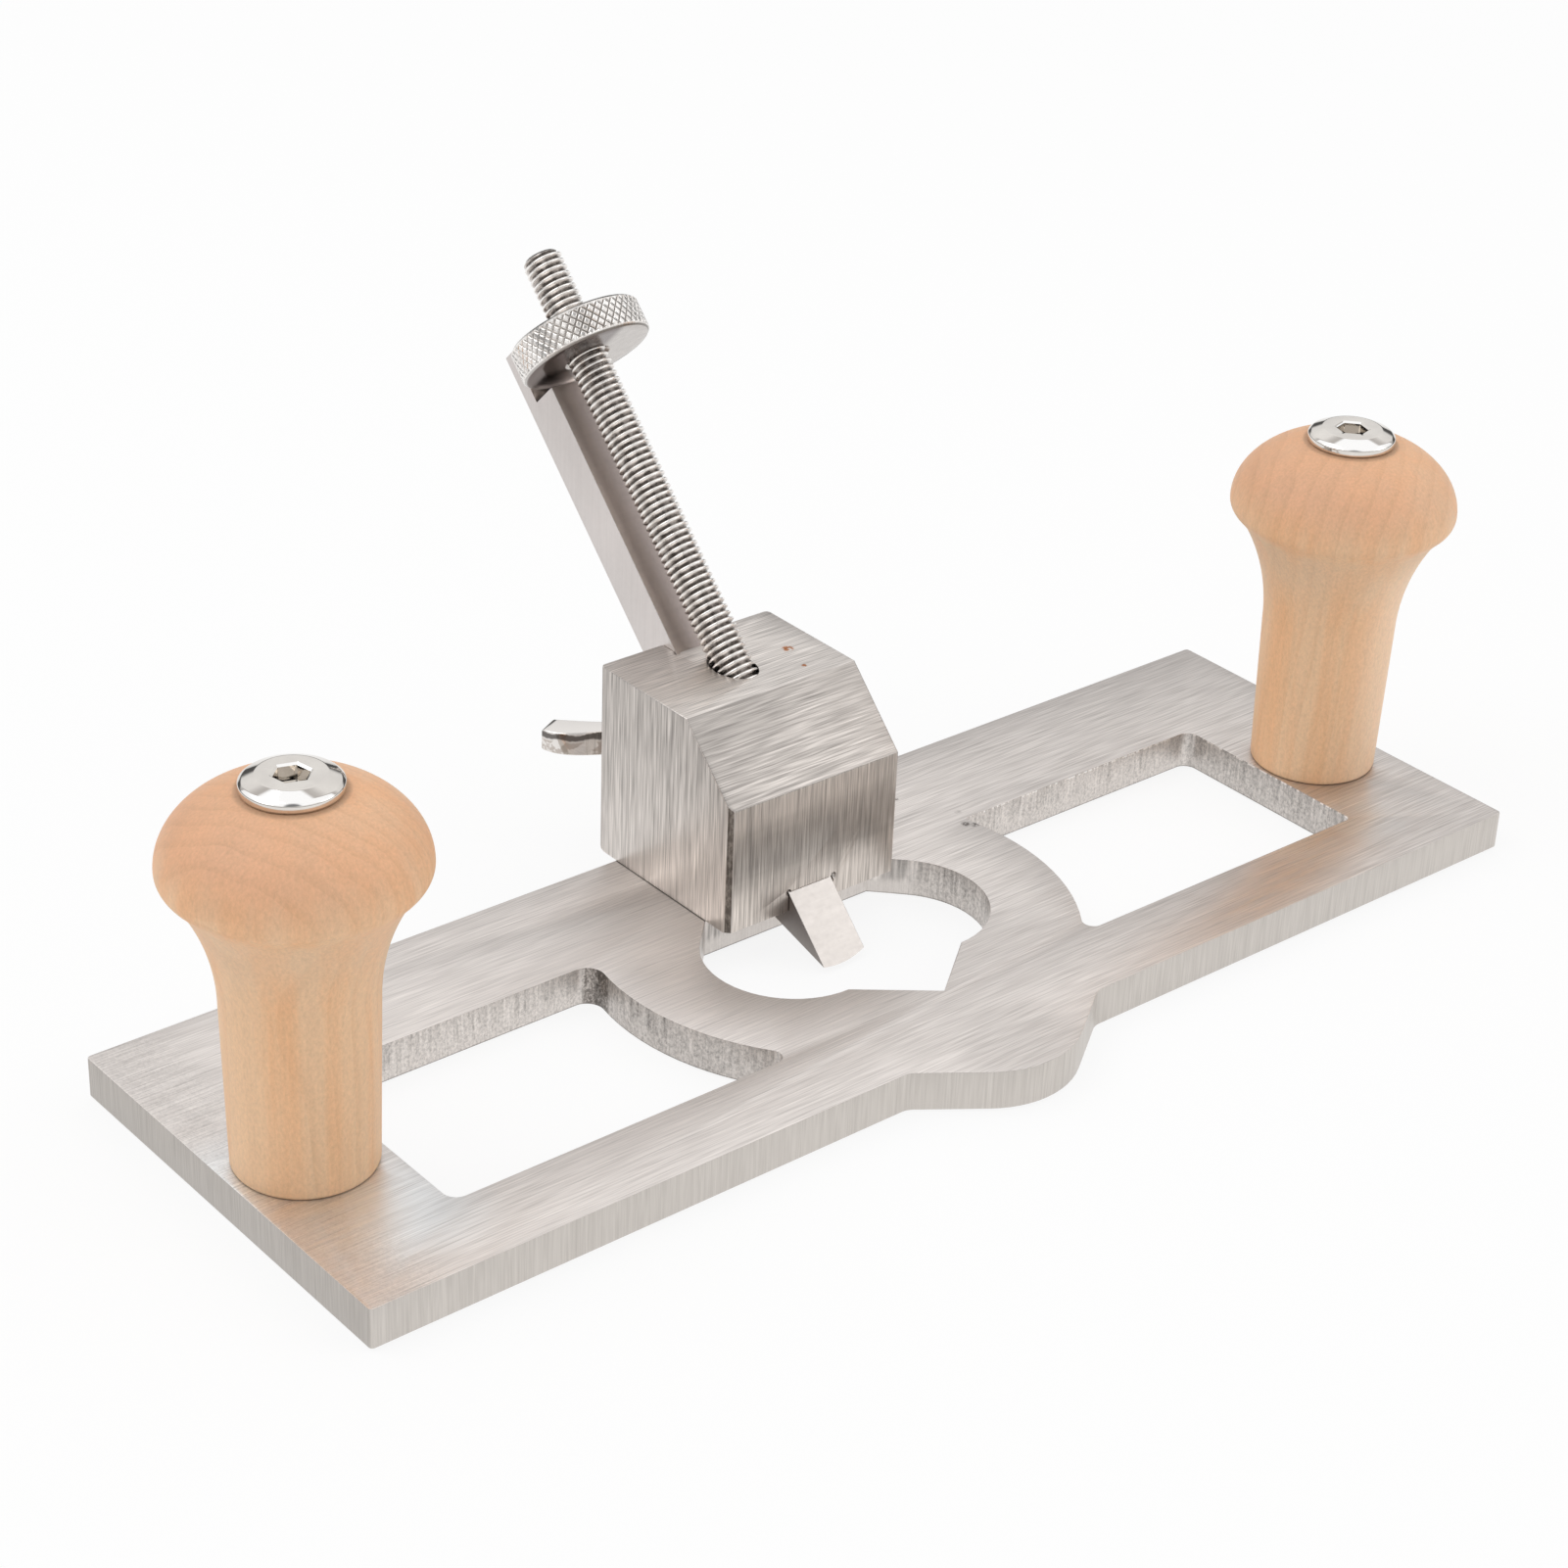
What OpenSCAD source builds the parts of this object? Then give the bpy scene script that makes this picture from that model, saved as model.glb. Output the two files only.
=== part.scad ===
// Hand router plane: a flat plate with two knobs, and a square cutter bar held at 45 degrees in a block.
// Millimetres. +X runs along the plate, +Y to the back, +Z up. The origin lies on the sole, under the
// middle of the block.

/* [Base plate] */
// Length of the plate
plate_l = 200.4; // [170:0.2:260]
// Width of the plate, without the nose
plate_w = 65.8; // [60:0.1:80]
// Thickness of the plate
plate_t = 5.8; // [5:0.1:9]
// Radius of the plate's outer corners
plate_corner_r = 0.6; // [0.3:0.1:4]
// Solid width at each end, under the knobs
end_w = 19.9; // [19:0.1:26]
// Width of the rail in front of the windows
front_rail_w = 12.1; // [10:0.1:14]
// Width of the rail behind the windows, which carries the block
rear_rail_w = 20.2; // [17:0.1:22]
// Radius of the windows' outer corners
window_r = 2; // [1:0.1:4]
// Radius of the right window's front outer corner
window_sharp_r = 0.8; // [0.5:0.1:2]
// Radius where the ring meets the front rail
ring_fillet_r = 1.5; // [0.5:0.1:4]
// Radius where the ring meets the rear rail, left window
left_rear_fillet_r = 2.5; // [0.5:0.1:4]
// Radius where the ring meets the rear rail, right window
right_rear_fillet_r = 0.6; // [0.5:0.1:4]

/* [Ring and centre opening] */
// Radius of the ring between the windows
ring_r = 35.1; // [31:0.1:38]
// Distance of the ring's centre behind the plate's centre line
ring_back = 3; // [0:0.1:5]
// Radius of the opening's round ends
opening_r = 12.4; // [11:0.1:14]
// Distance of each round end's centre from the middle
opening_half = 10.2; // [9:0.1:12]
// Distance of the opening's centre in front of the plate's centre line
opening_fwd = 0.35; // [0:0.05:1]
// Width of the opening's straight rear edge, between the slanting corners
opening_rear_w = 29.8; // [29:0.1:33]
// Depth of the V notch in the opening's front edge
v_depth = 7.9; // [4:0.1:9]

/* [Nose] */
// How far the nose stands out from the front edge
nose_reach = 8.8; // [6:0.1:12]
// Angle between the nose's sides and the front edge
nose_angle = 35; // [30:1:42]
// Radius of the nose's tip
nose_tip_r = 14; // [8:0.5:18]
// Radius where the nose meets the front edge
nose_root_r = 3; // [1:0.5:8]

/* [Block] */
// Width of the block
block_w = 30; // [26:0.1:36]
// Depth of the block, front to back
block_d = 29.6; // [27:0.1:34]
// Height of the block above the plate
block_h = 29.5; // [27:0.1:34]
// Size of the big chamfer along the block's top front edge
block_chamfer = 10.2; // [6:0.1:12]
// Size of the broken edge at the block's front left corner
block_break = 0.85; // [0.4:0.05:2]
// Radius of the block's upright rear edges
block_rear_r = 0.8; // [0.3:0.1:2]
// Radius along the block's lower rear edge
block_heel_r = 1.5; // [0.5:0.1:3]
// How far the block stands out behind the plate's back edge
block_overhang = 4.2; // [3:0.05:6]

/* [Cutter bar] */
// Angle between the bar and the sole
bed_angle = 45; // [40:1:50]
// Width of the bar
bar_w = 7.7; // [6:0.1:10]
// Thickness of the bar
bar_t = 7.4; // [6:0.1:9]
// Length of the bar
bar_l = 99.8; // [90:0.1:120]
// Wedge angle ground on the cutting end
wedge_angle = 30; // [25:1:35]
// Radius that gives the cutting edge its slight curve
edge_curve_r = 27; // [15:1:80]
// How far the edge's lowest point lies to the left of the bar's middle
edge_lean = 1; // [0:0.1:2]
// Distance of the cutting edge in front of the block's middle
edge_fwd = 23; // [21:0.1:25]
// Height of the cutting edge above the sole, as set
edge_z = 0.4; // [0.2:0.1:2]
// Clearance between the bar and its channel
channel_gap = 0.2; // [0.1:0.05:0.4]
// How far the bar lies to the left of the channel's middle
bar_side = 0.15; // [0:0.05:0.15]
// Radius of the small reliefs in the channel's front corners
relief_r = 0.4; // [0.3:0.1:0.9]
// Depth of the notch for the nut
notch_depth = 5; // [4.5:0.1:5.5]
// Metal left above the notch
lip_t = 2; // [1.5:0.1:4]

/* [Depth rod and nut] */
// Diameter of the threaded rod
rod_d = 6; // [5:0.1:7]
// Distance of the rod's axis in front of the bar's front face
rod_off = 5.6; // [5:0.1:6]
// Length of rod that stands out of the block, along its axis
rod_out = 65; // [60:0.1:90]
// Length of rod screwed into the block
rod_in = 14; // [10:0.5:16]
// Bevel at the rod's top
rod_bevel = 0.7; // [0.3:0.1:1]
// Diameter of the depth nut
nut_d = 19.6; // [18:0.1:20]
// Thickness of the depth nut
nut_h = 5; // [3:0.1:8]
// Bevel on the nut's edges
nut_bevel = 0.35; // [0.2:0.05:0.8]
// Play between the nut and the notch's floor, on the bar's lower side
nut_play = 1.05; // [0.3:0.05:2]
// Play between the nut and the notch's roof
nut_top_play = 0.3; // [0.2:0.1:1]

/* [Wing screw] */
// Diameter of the wing screw's shank
wing_shank_d = 6; // [5:0.1:7]
// Height of the wing screw's axis above the sole
wing_z = 18.45; // [17:0.05:20]
// Diameter of the wing screw's hub
hub_d = 10.6; // [9:0.1:13]
// Length of the hub
hub_l = 6.5; // [5.5:0.1:9]
// Gap between the block and the hub
hub_gap = 1.3; // [1:0.1:3]
// Reach of each ear from the axis
ear_reach = 16; // [14:0.1:17]
// How far the ears sweep back from the hub's front
ear_sweep = 12.9; // [11:0.1:14]
// Thickness of the ears at the hub
ear_root_t = 4.4; // [3:0.1:5]
// Thickness of the ears at their tips
ear_tip_t = 3.3; // [2:0.1:4]

/* [Knobs] */
// Distance of the left knob's axis from the middle
left_knob_x = 89.5; // [85:0.1:91]
// How far the left knob stands in front of the plate's centre line
left_knob_fwd = 2.4; // [0:0.1:6]
// Distance of the right knob's axis from the middle
right_knob_x = 90; // [85:0.1:91]
// How far the right knob stands in front of the plate's centre line
right_knob_fwd = 4; // [0:0.1:6]
// Radius of the shank where it meets the plate
shank_r = 9.35; // [9:0.1:10]
// Radius of the shank where the flare starts
neck_r = 9.85; // [9:0.1:11]
// Height where the flare starts
neck_z = 23; // [18:0.5:26]
// Radius of the crease under the head
crease_r = 14.3; // [12.5:0.1:15]
// Height of the crease under the head
crease_z = 38.8; // [36:0.1:40]
// Largest radius of the head
head_r = 16.55; // [16:0.05:19]
// Height of the head's widest point
head_z = 42.1; // [41.5:0.1:46]
// Rounding of the head's edge, below its widest point
head_edge_r = 2.3; // [1:0.1:2.6]
// Rise of the dome above the widest point, were it not cut flat for the bolt
dome_rise = 10.8; // [8:0.1:14]

/* [Knob bolts] */
// Diameter of the bolts' shanks
bolt_d = 6; // [5:0.1:7]
// Length of the bolts under the head
bolt_l = 56; // [54:0.5:57]
// Diameter of the bolts' heads
bolt_head_d = 12.7; // [11:0.1:16]
// Height of the head's straight rim
bolt_rim_h = 1.1; // [0.6:0.05:1.5]
// Diameter where the steep lower bevel ends
bolt_mid_d = 11.8; // [10:0.1:12.2]
// Height of the steep lower bevel
bolt_mid_h = 0.5; // [0.3:0.05:1]
// Diameter of the head's flat top
bolt_top_d = 8.1; // [7:0.1:9]
// Height of the wide upper bevel
bolt_top_h = 1; // [0.5:0.05:1.5]
// Hex key size, across flats
hex_key = 4; // [3:0.5:5]
// Depth of the hex socket
hex_depth = 2.2; // [1.5:0.1:2.4]
// Turn of the left bolt's socket
left_hex_turn = 30; // [0:1:59]
// Turn of the right bolt's socket
right_hex_turn = 13; // [0:1:59]
// Clearance of the bolt in the knob's hole
knob_hole_gap = 0.2; // [0.1:0.05:0.6]

/* [Block screws] */
// Diameter of the screws that hold the block
screw_d = 5; // [4:0.5:6]
// Distance of each screw from the middle
screw_x = 9; // [8.5:0.1:10]
// Length of the screws, head included
screw_l = 16; // [12:1:20]
// Diameter of the countersunk heads
screw_head_d = 9.2; // [8:0.1:9.8]
// How far the heads lie below the sole's face
screw_sink = 0.3; // [0.1:0.1:0.8]
// Hex key size of the block screws, across flats
screw_key = 3; // [2:0.5:3.5]

/* [Fits] */
// Radial clearance of a thread or shank in its hole
thread_gap = 0.05; // [0.02:0.01:0.08]

/* [Hidden] */
$fn = 96;

past = 1;                                // how far a cut runs past the face it opens
bite = 0.01;                             // how much deeper than tangent a rounding cut goes
rear_y = block_d / 2 - block_overhang;   // the plate's back edge
plate_y = rear_y - plate_w / 2;          // the plate's centre line
front_y = rear_y - plate_w;
window_front_y = front_y + front_rail_w;
window_rear_y = rear_y - rear_rail_w;
window_end_x = plate_l / 2 - end_w;
ring_y = plate_y + ring_back;
opening_y = plate_y - opening_fwd;
block_top = plate_t + block_h;
left_knob_at = [-left_knob_x, plate_y - left_knob_fwd];
right_knob_at = [right_knob_x, plate_y - right_knob_fwd];
bolt_seat_r = bolt_head_d / 2 + 0.1;     // radius of the flat that the bolt's head sits on
knob_h = head_z + dome_rise * sqrt(1 - pow(bolt_seat_r / head_r, 2));
notch_h = nut_h + nut_play + nut_top_play;
notch_z = bar_l - lip_t - notch_h;       // the notch's floor, measured along the bar
nut_z = notch_z + nut_play;
channel_reach = 2 * block_top / sin(bed_angle);

// Where the rod's axis meets the block's top, measured along the bar from the cutting edge
rod_top_z = (block_top - edge_z - rod_off * cos(bed_angle)) / sin(bed_angle);
// Where the bar's back face meets the wing screw's axis
bar_back_y = -edge_fwd + (wing_z - edge_z) / tan(bed_angle) + bar_t / sin(bed_angle);

// Points on an arc, from one angle to another
function arc(cx, cy, rx, ry, from, to, steps) =
    [for (i = [0:steps]) let (a = from + (to - from) * i / steps) [cx + rx * cos(a), cy + ry * sin(a)]];

// Points on a cubic curve through two ends, pulled by two handles
function curve(p0, p1, p2, p3, steps) =
    [for (i = [0:steps]) let (t = i / steps, u = 1 - t)
        u * u * u * p0 + 3 * u * u * t * p1 + 3 * u * t * t * p2 + t * t * t * p3];

// A rectangle with true round corners
module rounded_rect(w, d, r) {
    square([w - 2 * r, d], center = true);
    square([w, d - 2 * r], center = true);
    for (x = [-1, 1], y = [-1, 1])
        translate([x * (w / 2 - r), y * (d / 2 - r)])
            circle(r);
}

// Stands its children on the cutter's bed: Z runs up the bar from the cutting edge, Y to the bar's back
module on_bed() {
    translate([0, -edge_fwd, edge_z])
        rotate([bed_angle - 90, 0, 0])
            children();
}

// The square channel that the bar slides in, with relieved front corners
module bar_channel() {
    half = bar_w / 2 + channel_gap;
    on_bed() {
        translate([-half, -channel_gap, -channel_reach / 2])
            cube([2 * half, bar_t + 2 * channel_gap, 1.5 * channel_reach]);
        for (x = [-half, half])
            translate([x, -channel_gap, -channel_reach / 2])
                cylinder(r = relief_r, h = 1.5 * channel_reach);
    }
}

// Metal left in a window's corner where the ring's arc meets a rail, for a fillet of radius r.
// rail_y is the rail's edge and way is 1 where the window lies behind it, -1 where it lies in front.
module ring_corner(rail_y, way, r) {
    cy = rail_y + way * r;
    cx = sqrt(pow(ring_r + r, 2) - pow(cy - ring_y, 2));
    corner_x = sqrt(pow(ring_r, 2) - pow(rail_y - ring_y, 2));
    touch = [cx, cy - ring_y] * ring_r / (ring_r + r);
    difference() {
        polygon([[corner_x - r, rail_y - way * past], [cx, rail_y - way * past], [cx, cy],
                 [touch.x, ring_y + touch.y]]);
        translate([cx, cy])
            circle(r + bite);
    }
}

// The right window; the left one is its mirror image
module window(rear_fillet_r, front_corner_r) {
    depth = window_rear_y - window_front_y;
    patch = 2 * window_r + front_corner_r;   // cuts the front outer corner to its own radius
    difference() {
        union() {
            translate([window_end_x / 2, window_front_y + depth / 2])
                rounded_rect(window_end_x, depth, window_r);
            translate([window_end_x - patch / 2, window_front_y + patch / 2])
                rounded_rect(patch, patch, front_corner_r);
        }
        translate([0, ring_y])
            circle(ring_r);
        ring_corner(window_front_y, 1, ring_fillet_r);
        ring_corner(window_rear_y, -1, rear_fillet_r);
    }
}

// Two round ends with a square-cut back: slanting lines leave the round ends at 45 degrees and meet the
// straight rear edge at sharp corners. The front edge has the V notch.
module centre_opening() {
    touch = opening_r * sin(45);
    rear_half = opening_rear_w / 2;
    rear = opening_half + 2 * touch - rear_half;
    translate([0, opening_y]) {
        for (x = [-opening_half, opening_half])
            translate([x, 0])
                circle(opening_r);
        polygon([[-opening_half, -opening_r], [opening_half, -opening_r], [opening_half, 0],
                 [opening_half + touch, touch], [rear_half, rear], [-rear_half, rear],
                 [-opening_half - touch, touch], [-opening_half, 0]]);
        polygon([[-opening_half, -opening_r], [opening_half, -opening_r], [0, -opening_r - v_depth]]);
    }
}

// The nose: straight sides that run into a round tip, and a fillet where each side leaves the plate
module nose() {
    tip_y = front_y - nose_reach + nose_tip_r;
    side_x = nose_tip_r * sin(nose_angle);
    side_y = tip_y - nose_tip_r * cos(nose_angle);
    root_x = side_x + (front_y - side_y) / tan(nose_angle);
    root_t = nose_root_r * tan(nose_angle / 2);
    fillet_x = root_x + root_t;
    fillet_y = front_y - nose_root_r;
    touch_x = root_x - root_t * cos(nose_angle);
    touch_y = front_y - root_t * sin(nose_angle);
    difference() {
        polygon([[-fillet_x, front_y + past], [-fillet_x, fillet_y], [-touch_x, touch_y], [-side_x, side_y],
                 [side_x, side_y], [touch_x, touch_y], [fillet_x, fillet_y], [fillet_x, front_y + past]]);
        for (x = [-fillet_x, fillet_x])
            translate([x, fillet_y])
                circle(nose_root_r + bite);
    }
    intersection() {
        translate([0, tip_y])
            circle(nose_tip_r);
        translate([-nose_tip_r, front_y - nose_reach])
            square([2 * nose_tip_r, nose_reach]);
    }
}

module base_plate() {
    color("silver")
        difference() {
            linear_extrude(plate_t)
                difference() {
                    union() {
                        translate([0, plate_y])
                            rounded_rect(plate_l, plate_w, plate_corner_r);
                        nose();
                    }
                    window(right_rear_fillet_r, window_sharp_r);
                    mirror([1, 0, 0])
                        window(left_rear_fillet_r, window_r);
                    centre_opening();
                }
            bar_channel();
            for (at = [left_knob_at, right_knob_at])
                translate([at.x, at.y, -past])
                    cylinder(d = bolt_d + 2 * thread_gap, h = plate_t + 2 * past);
            for (x = [-screw_x, screw_x])
                translate([x, 0, 0])
                    screw_hole();
        }
}

// Room for a countersunk screw, from the sole up
module screw_hole() {
    gap = thread_gap;
    cone_h = (screw_head_d - screw_d) / 2;
    translate([0, 0, -past])
        cylinder(d = screw_head_d + 2 * gap, h = past + screw_sink);
    translate([0, 0, screw_sink])
        cylinder(d1 = screw_head_d + 2 * gap, d2 = screw_d + 2 * gap, h = cone_h);
    translate([0, 0, screw_sink])
        cylinder(d = screw_d + 2 * gap, h = screw_l + past);
}

// Side view of the block, seen along X: chamfer at the top front, round heel at the lower rear
module block_side() {
    difference() {
        translate([-block_d / 2, plate_t])
            square([block_d, block_h]);
        translate([-block_d / 2, block_top])
            polygon([[-past, past], [-past, -block_chamfer - past], [block_chamfer + past, past]]);
        translate([block_d / 2 - block_heel_r, plate_t + block_heel_r])
            difference() {
                translate([0, -block_heel_r - past])
                    square([block_heel_r + past, block_heel_r + past]);
                circle(block_heel_r);
            }
    }
}

module cutter_block() {
    color("silver")
        difference() {
            rotate([90, 0, 90])
                linear_extrude(block_w, center = true)
                    block_side();
            bar_channel();
            // tapped hole for the rod
            on_bed()
                translate([0, -rod_off, rod_top_z - rod_in])
                    cylinder(d = rod_d + 2 * thread_gap, h = rod_in + rod_d + past);
            // tapped hole for the wing screw, into the channel
            translate([0, block_d / 2 + past, wing_z])
                rotate([90, 0, 0])
                    cylinder(d = wing_shank_d + 2 * thread_gap, h = block_d / 2 + past - bar_back_y);
            // tapped holes for the block screws
            for (x = [-screw_x, screw_x])
                translate([x, 0, 0])
                    screw_hole();
            // rounded upright edges at the back
            for (side = [-1, 1])
                translate([side * (block_w / 2 - block_rear_r), block_d / 2 - block_rear_r, plate_t - past])
                    linear_extrude(block_h + 2 * past)
                        difference() {
                            translate([side < 0 ? -block_rear_r - past : 0, 0])
                                square(block_rear_r + past);
                            circle(block_rear_r + bite);
                        }
            // broken edge at the front left corner
            translate([-block_w / 2, -block_d / 2, plate_t - past])
                linear_extrude(block_h + 2 * past)
                    polygon([[-past, -past], [block_break + past, -past], [-past, block_break + past]]);
        }
}

module block_screws() {
    cone_h = (screw_head_d - screw_d) / 2;
    color("dimgray")
        for (x = [-screw_x, screw_x])
            translate([x, 0, screw_sink])
                difference() {
                    union() {
                        cylinder(d1 = screw_head_d, d2 = screw_d, h = cone_h);
                        cylinder(d = screw_d, h = screw_l);
                    }
                    translate([0, 0, -past])
                        cylinder(d = screw_key / cos(30), h = past + cone_h, $fn = 6);
                }
}

// The cutting end: a wedge whose ground face is part of a large cylinder, which curves the edge
module ground_end() {
    rotate([-wedge_angle, 0, 0])
        translate([0, 0, -bar_l / 4])
            linear_extrude(2 * bar_l)
                translate([-edge_lean, -edge_curve_r]) {
                    circle(edge_curve_r, $fn = 360);
                    translate([-edge_curve_r, -2 * bar_l])
                        square([2 * edge_curve_r, 2 * bar_l]);
                }
}

module cutter_bar() {
    color("lightgray")
        on_bed()
            translate([-bar_side, 0, 0])
                difference() {
                    intersection() {
                        translate([-bar_w / 2, 0, -bar_t])
                            cube([bar_w, bar_t, bar_l + bar_t]);
                        ground_end();
                    }
                    translate([-bar_w / 2 - past, -past, notch_z])
                        cube([bar_w + 2 * past, notch_depth + past, notch_h]);
                }
}

module depth_rod() {
    rod_l = rod_in + rod_out;
    color("gainsboro")
        on_bed()
            translate([0, -rod_off, rod_top_z - rod_in]) {
                cylinder(d = rod_d, h = rod_l - rod_bevel);
                translate([0, 0, rod_l - rod_bevel])
                    cylinder(d1 = rod_d, d2 = rod_d - 2 * rod_bevel, h = rod_bevel);
            }
}

module depth_nut() {
    r = nut_d / 2;
    bore_r = rod_d / 2 + thread_gap;
    color("silver")
        on_bed()
            translate([0, -rod_off, nut_z])
                rotate_extrude()
                    polygon([[bore_r, 0], [r - nut_bevel, 0], [r, nut_bevel], [r, nut_h - nut_bevel],
                             [r - nut_bevel, nut_h], [bore_r, nut_h]]);
}

// One ear in plan: X runs out from the axis and Y back from the hub's front
module ear_plan() {
    root_x = hub_d / 2 - 0.8;
    front = curve([root_x, 1.2], [root_x + 4, 5.6], [ear_reach - 1.5, 5.6], [ear_reach, ear_sweep - 2.2], 12);
    rear = curve([ear_reach - 3.3, ear_sweep - 0.4], [10, 9.5], [7, 6.2], [root_x, 4.6], 8);
    polygon(concat(front, [[ear_reach - 2.6, ear_sweep]], rear));
}

module wing_screw() {
    shank_r = wing_shank_d / 2;
    // the pointed end bears on the bar's back, just clear of it
    point_y = bar_back_y + thread_gap / sin(bed_angle);
    flat_r = 0.8;
    hub_y = block_d / 2 + hub_gap;
    color("whitesmoke") {
        translate([0, hub_y + hub_l, wing_z])
            rotate([90, 0, 0])
                rotate_extrude()
                    polygon([[0, 0], [hub_d / 2 - 1, 0], [hub_d / 2, 1], [hub_d / 2, hub_l], [shank_r, hub_l],
                             [shank_r, hub_l + hub_y - point_y - shank_r / tan(bed_angle)],
                             [flat_r, hub_l + hub_y - point_y - flat_r / tan(bed_angle)],
                             [0, hub_l + hub_y - point_y - flat_r / tan(bed_angle)]]);
        for (side = [-1, 1])
            translate([0, hub_y, wing_z])
                intersection() {
                    linear_extrude(2 * ear_root_t, center = true)
                        scale([side, 1])
                            ear_plan();
                    rotate([90, 0, 0])
                        linear_extrude(4 * ear_sweep, center = true)
                            polygon([[0, -ear_root_t / 2], [side * hub_d / 2, -ear_root_t / 2],
                                     [side * ear_reach, -ear_tip_t / 2], [side * ear_reach, ear_tip_t / 2],
                                     [side * hub_d / 2, ear_root_t / 2], [0, ear_root_t / 2]]);
                }
    }
}

// Half section of a knob, from the foot up: tapered shank, flared neck, crease, rounded edge and dome
function knob_section() =
    let (
        flare = crease_r - neck_r,
        rise = crease_z - neck_z,
        flare_r = (flare * flare + rise * rise) / (2 * flare),
        flare_end = asin(rise / flare_r),
        dome_end = acos(bolt_seat_r / head_r),
        hole_r = bolt_d / 2 + knob_hole_gap
    )
    concat(
        [[hole_r, 0], [shank_r - 0.4, 0], [shank_r, 0.4]],
        arc(neck_r + flare_r, neck_z, flare_r, flare_r, 180, 180 - flare_end, 14),
        arc(head_r - head_edge_r, head_z, head_edge_r, head_edge_r, -50, -10, 4),
        arc(0, head_z, head_r, dome_rise, 0, dome_end, 20),
        [[hole_r, knob_h]]
    );

module knob(at) {
    color("burlywood")
        translate([at.x, at.y, plate_t])
            rotate_extrude()
                polygon(knob_section());
}

module left_knob() {
    knob(left_knob_at);
}

module right_knob() {
    knob(right_knob_at);
}

module knob_bolt(at, hex_turn) {
    head_h = bolt_rim_h + bolt_mid_h + bolt_top_h;
    color("whitesmoke")
        translate([at.x, at.y, plate_t + knob_h])
            difference() {
                rotate_extrude()
                    polygon([[0, -bolt_l], [bolt_d / 2, -bolt_l], [bolt_d / 2, 0], [bolt_head_d / 2, 0],
                             [bolt_head_d / 2, bolt_rim_h], [bolt_mid_d / 2, bolt_rim_h + bolt_mid_h],
                             [bolt_top_d / 2, head_h], [0, head_h]]);
                translate([0, 0, head_h - hex_depth])
                    rotate(hex_turn)
                        cylinder(d = hex_key / cos(30), h = hex_depth + past, $fn = 6);
            }
}

module left_knob_bolt() {
    knob_bolt(left_knob_at, left_hex_turn);
}

module right_knob_bolt() {
    knob_bolt(right_knob_at, right_hex_turn);
}

base_plate();
cutter_block();
block_screws();
cutter_bar();
depth_rod();
depth_nut();
wing_screw();
left_knob();
right_knob();
left_knob_bolt();
right_knob_bolt();
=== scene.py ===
import math

import bmesh
import bpy
from mathutils import Matrix, Vector


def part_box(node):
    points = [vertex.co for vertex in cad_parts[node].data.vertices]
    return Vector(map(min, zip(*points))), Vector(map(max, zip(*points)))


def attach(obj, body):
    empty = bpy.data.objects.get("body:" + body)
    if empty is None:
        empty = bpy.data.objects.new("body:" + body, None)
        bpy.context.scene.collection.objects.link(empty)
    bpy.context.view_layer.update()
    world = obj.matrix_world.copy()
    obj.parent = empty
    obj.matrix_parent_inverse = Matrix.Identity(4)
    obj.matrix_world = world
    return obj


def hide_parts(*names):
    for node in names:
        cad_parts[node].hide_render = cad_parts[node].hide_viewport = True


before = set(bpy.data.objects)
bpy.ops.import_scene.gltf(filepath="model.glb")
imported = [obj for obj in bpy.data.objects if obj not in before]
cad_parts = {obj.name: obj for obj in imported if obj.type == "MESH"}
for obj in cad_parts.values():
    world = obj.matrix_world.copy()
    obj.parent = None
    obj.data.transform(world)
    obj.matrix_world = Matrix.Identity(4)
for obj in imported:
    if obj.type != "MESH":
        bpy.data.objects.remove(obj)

print("stage 1: packed frame loaded,", len(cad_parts), "nodes")
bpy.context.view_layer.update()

mm = 0.001

# Where the cutter's bed stands: local Z runs up the bar from the cutting edge, local Y to the bar's back
bed = {"angle": 45, "edgeForward": 23.0, "edgeHeight": 0.4, "rodOffset": 5.6}
bedMatrix = (Matrix.Translation((0, -bed["edgeForward"] * mm, bed["edgeHeight"] * mm))
             @ Matrix.Rotation(math.radians(bed["angle"] - 90), 4, "X"))


def onRod(height):
    # local Z is the rod's axis, and local zero lies height millimetres up the bed
    return bedMatrix @ Matrix.Translation((0, -bed["rodOffset"] * mm, height * mm))


# Mesh helpers

def addPiece(name, mesh, body, material, sharpAngle, nodeName):
    # smooth between its sharp edges, on its body and in place of its node
    mesh.polygons.foreach_set("use_smooth", [True] * len(mesh.polygons))
    mesh.set_sharp_from_angle(angle=math.radians(sharpAngle))
    mesh.materials.append(material)
    piece = bpy.data.objects.new(name, mesh)
    bpy.context.scene.collection.objects.link(piece)
    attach(piece, body)
    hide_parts(nodeName)


def newPiece(name, points, faces, body, material, sharpAngle, nodeName):
    # points are in the row frame, in metres
    mesh = bpy.data.meshes.new(name)
    mesh.from_pydata(points, [], faces)
    mesh.validate()
    addPiece(name, mesh, body, material, sharpAngle, nodeName)


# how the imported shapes' hard edges are broken: the length in metres, angles in degrees
soften = {"weld": 2e-6, "flat": 0.4, "hard": 28, "segments": 2, "profile": 0.6, "sharp": 30}


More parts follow.
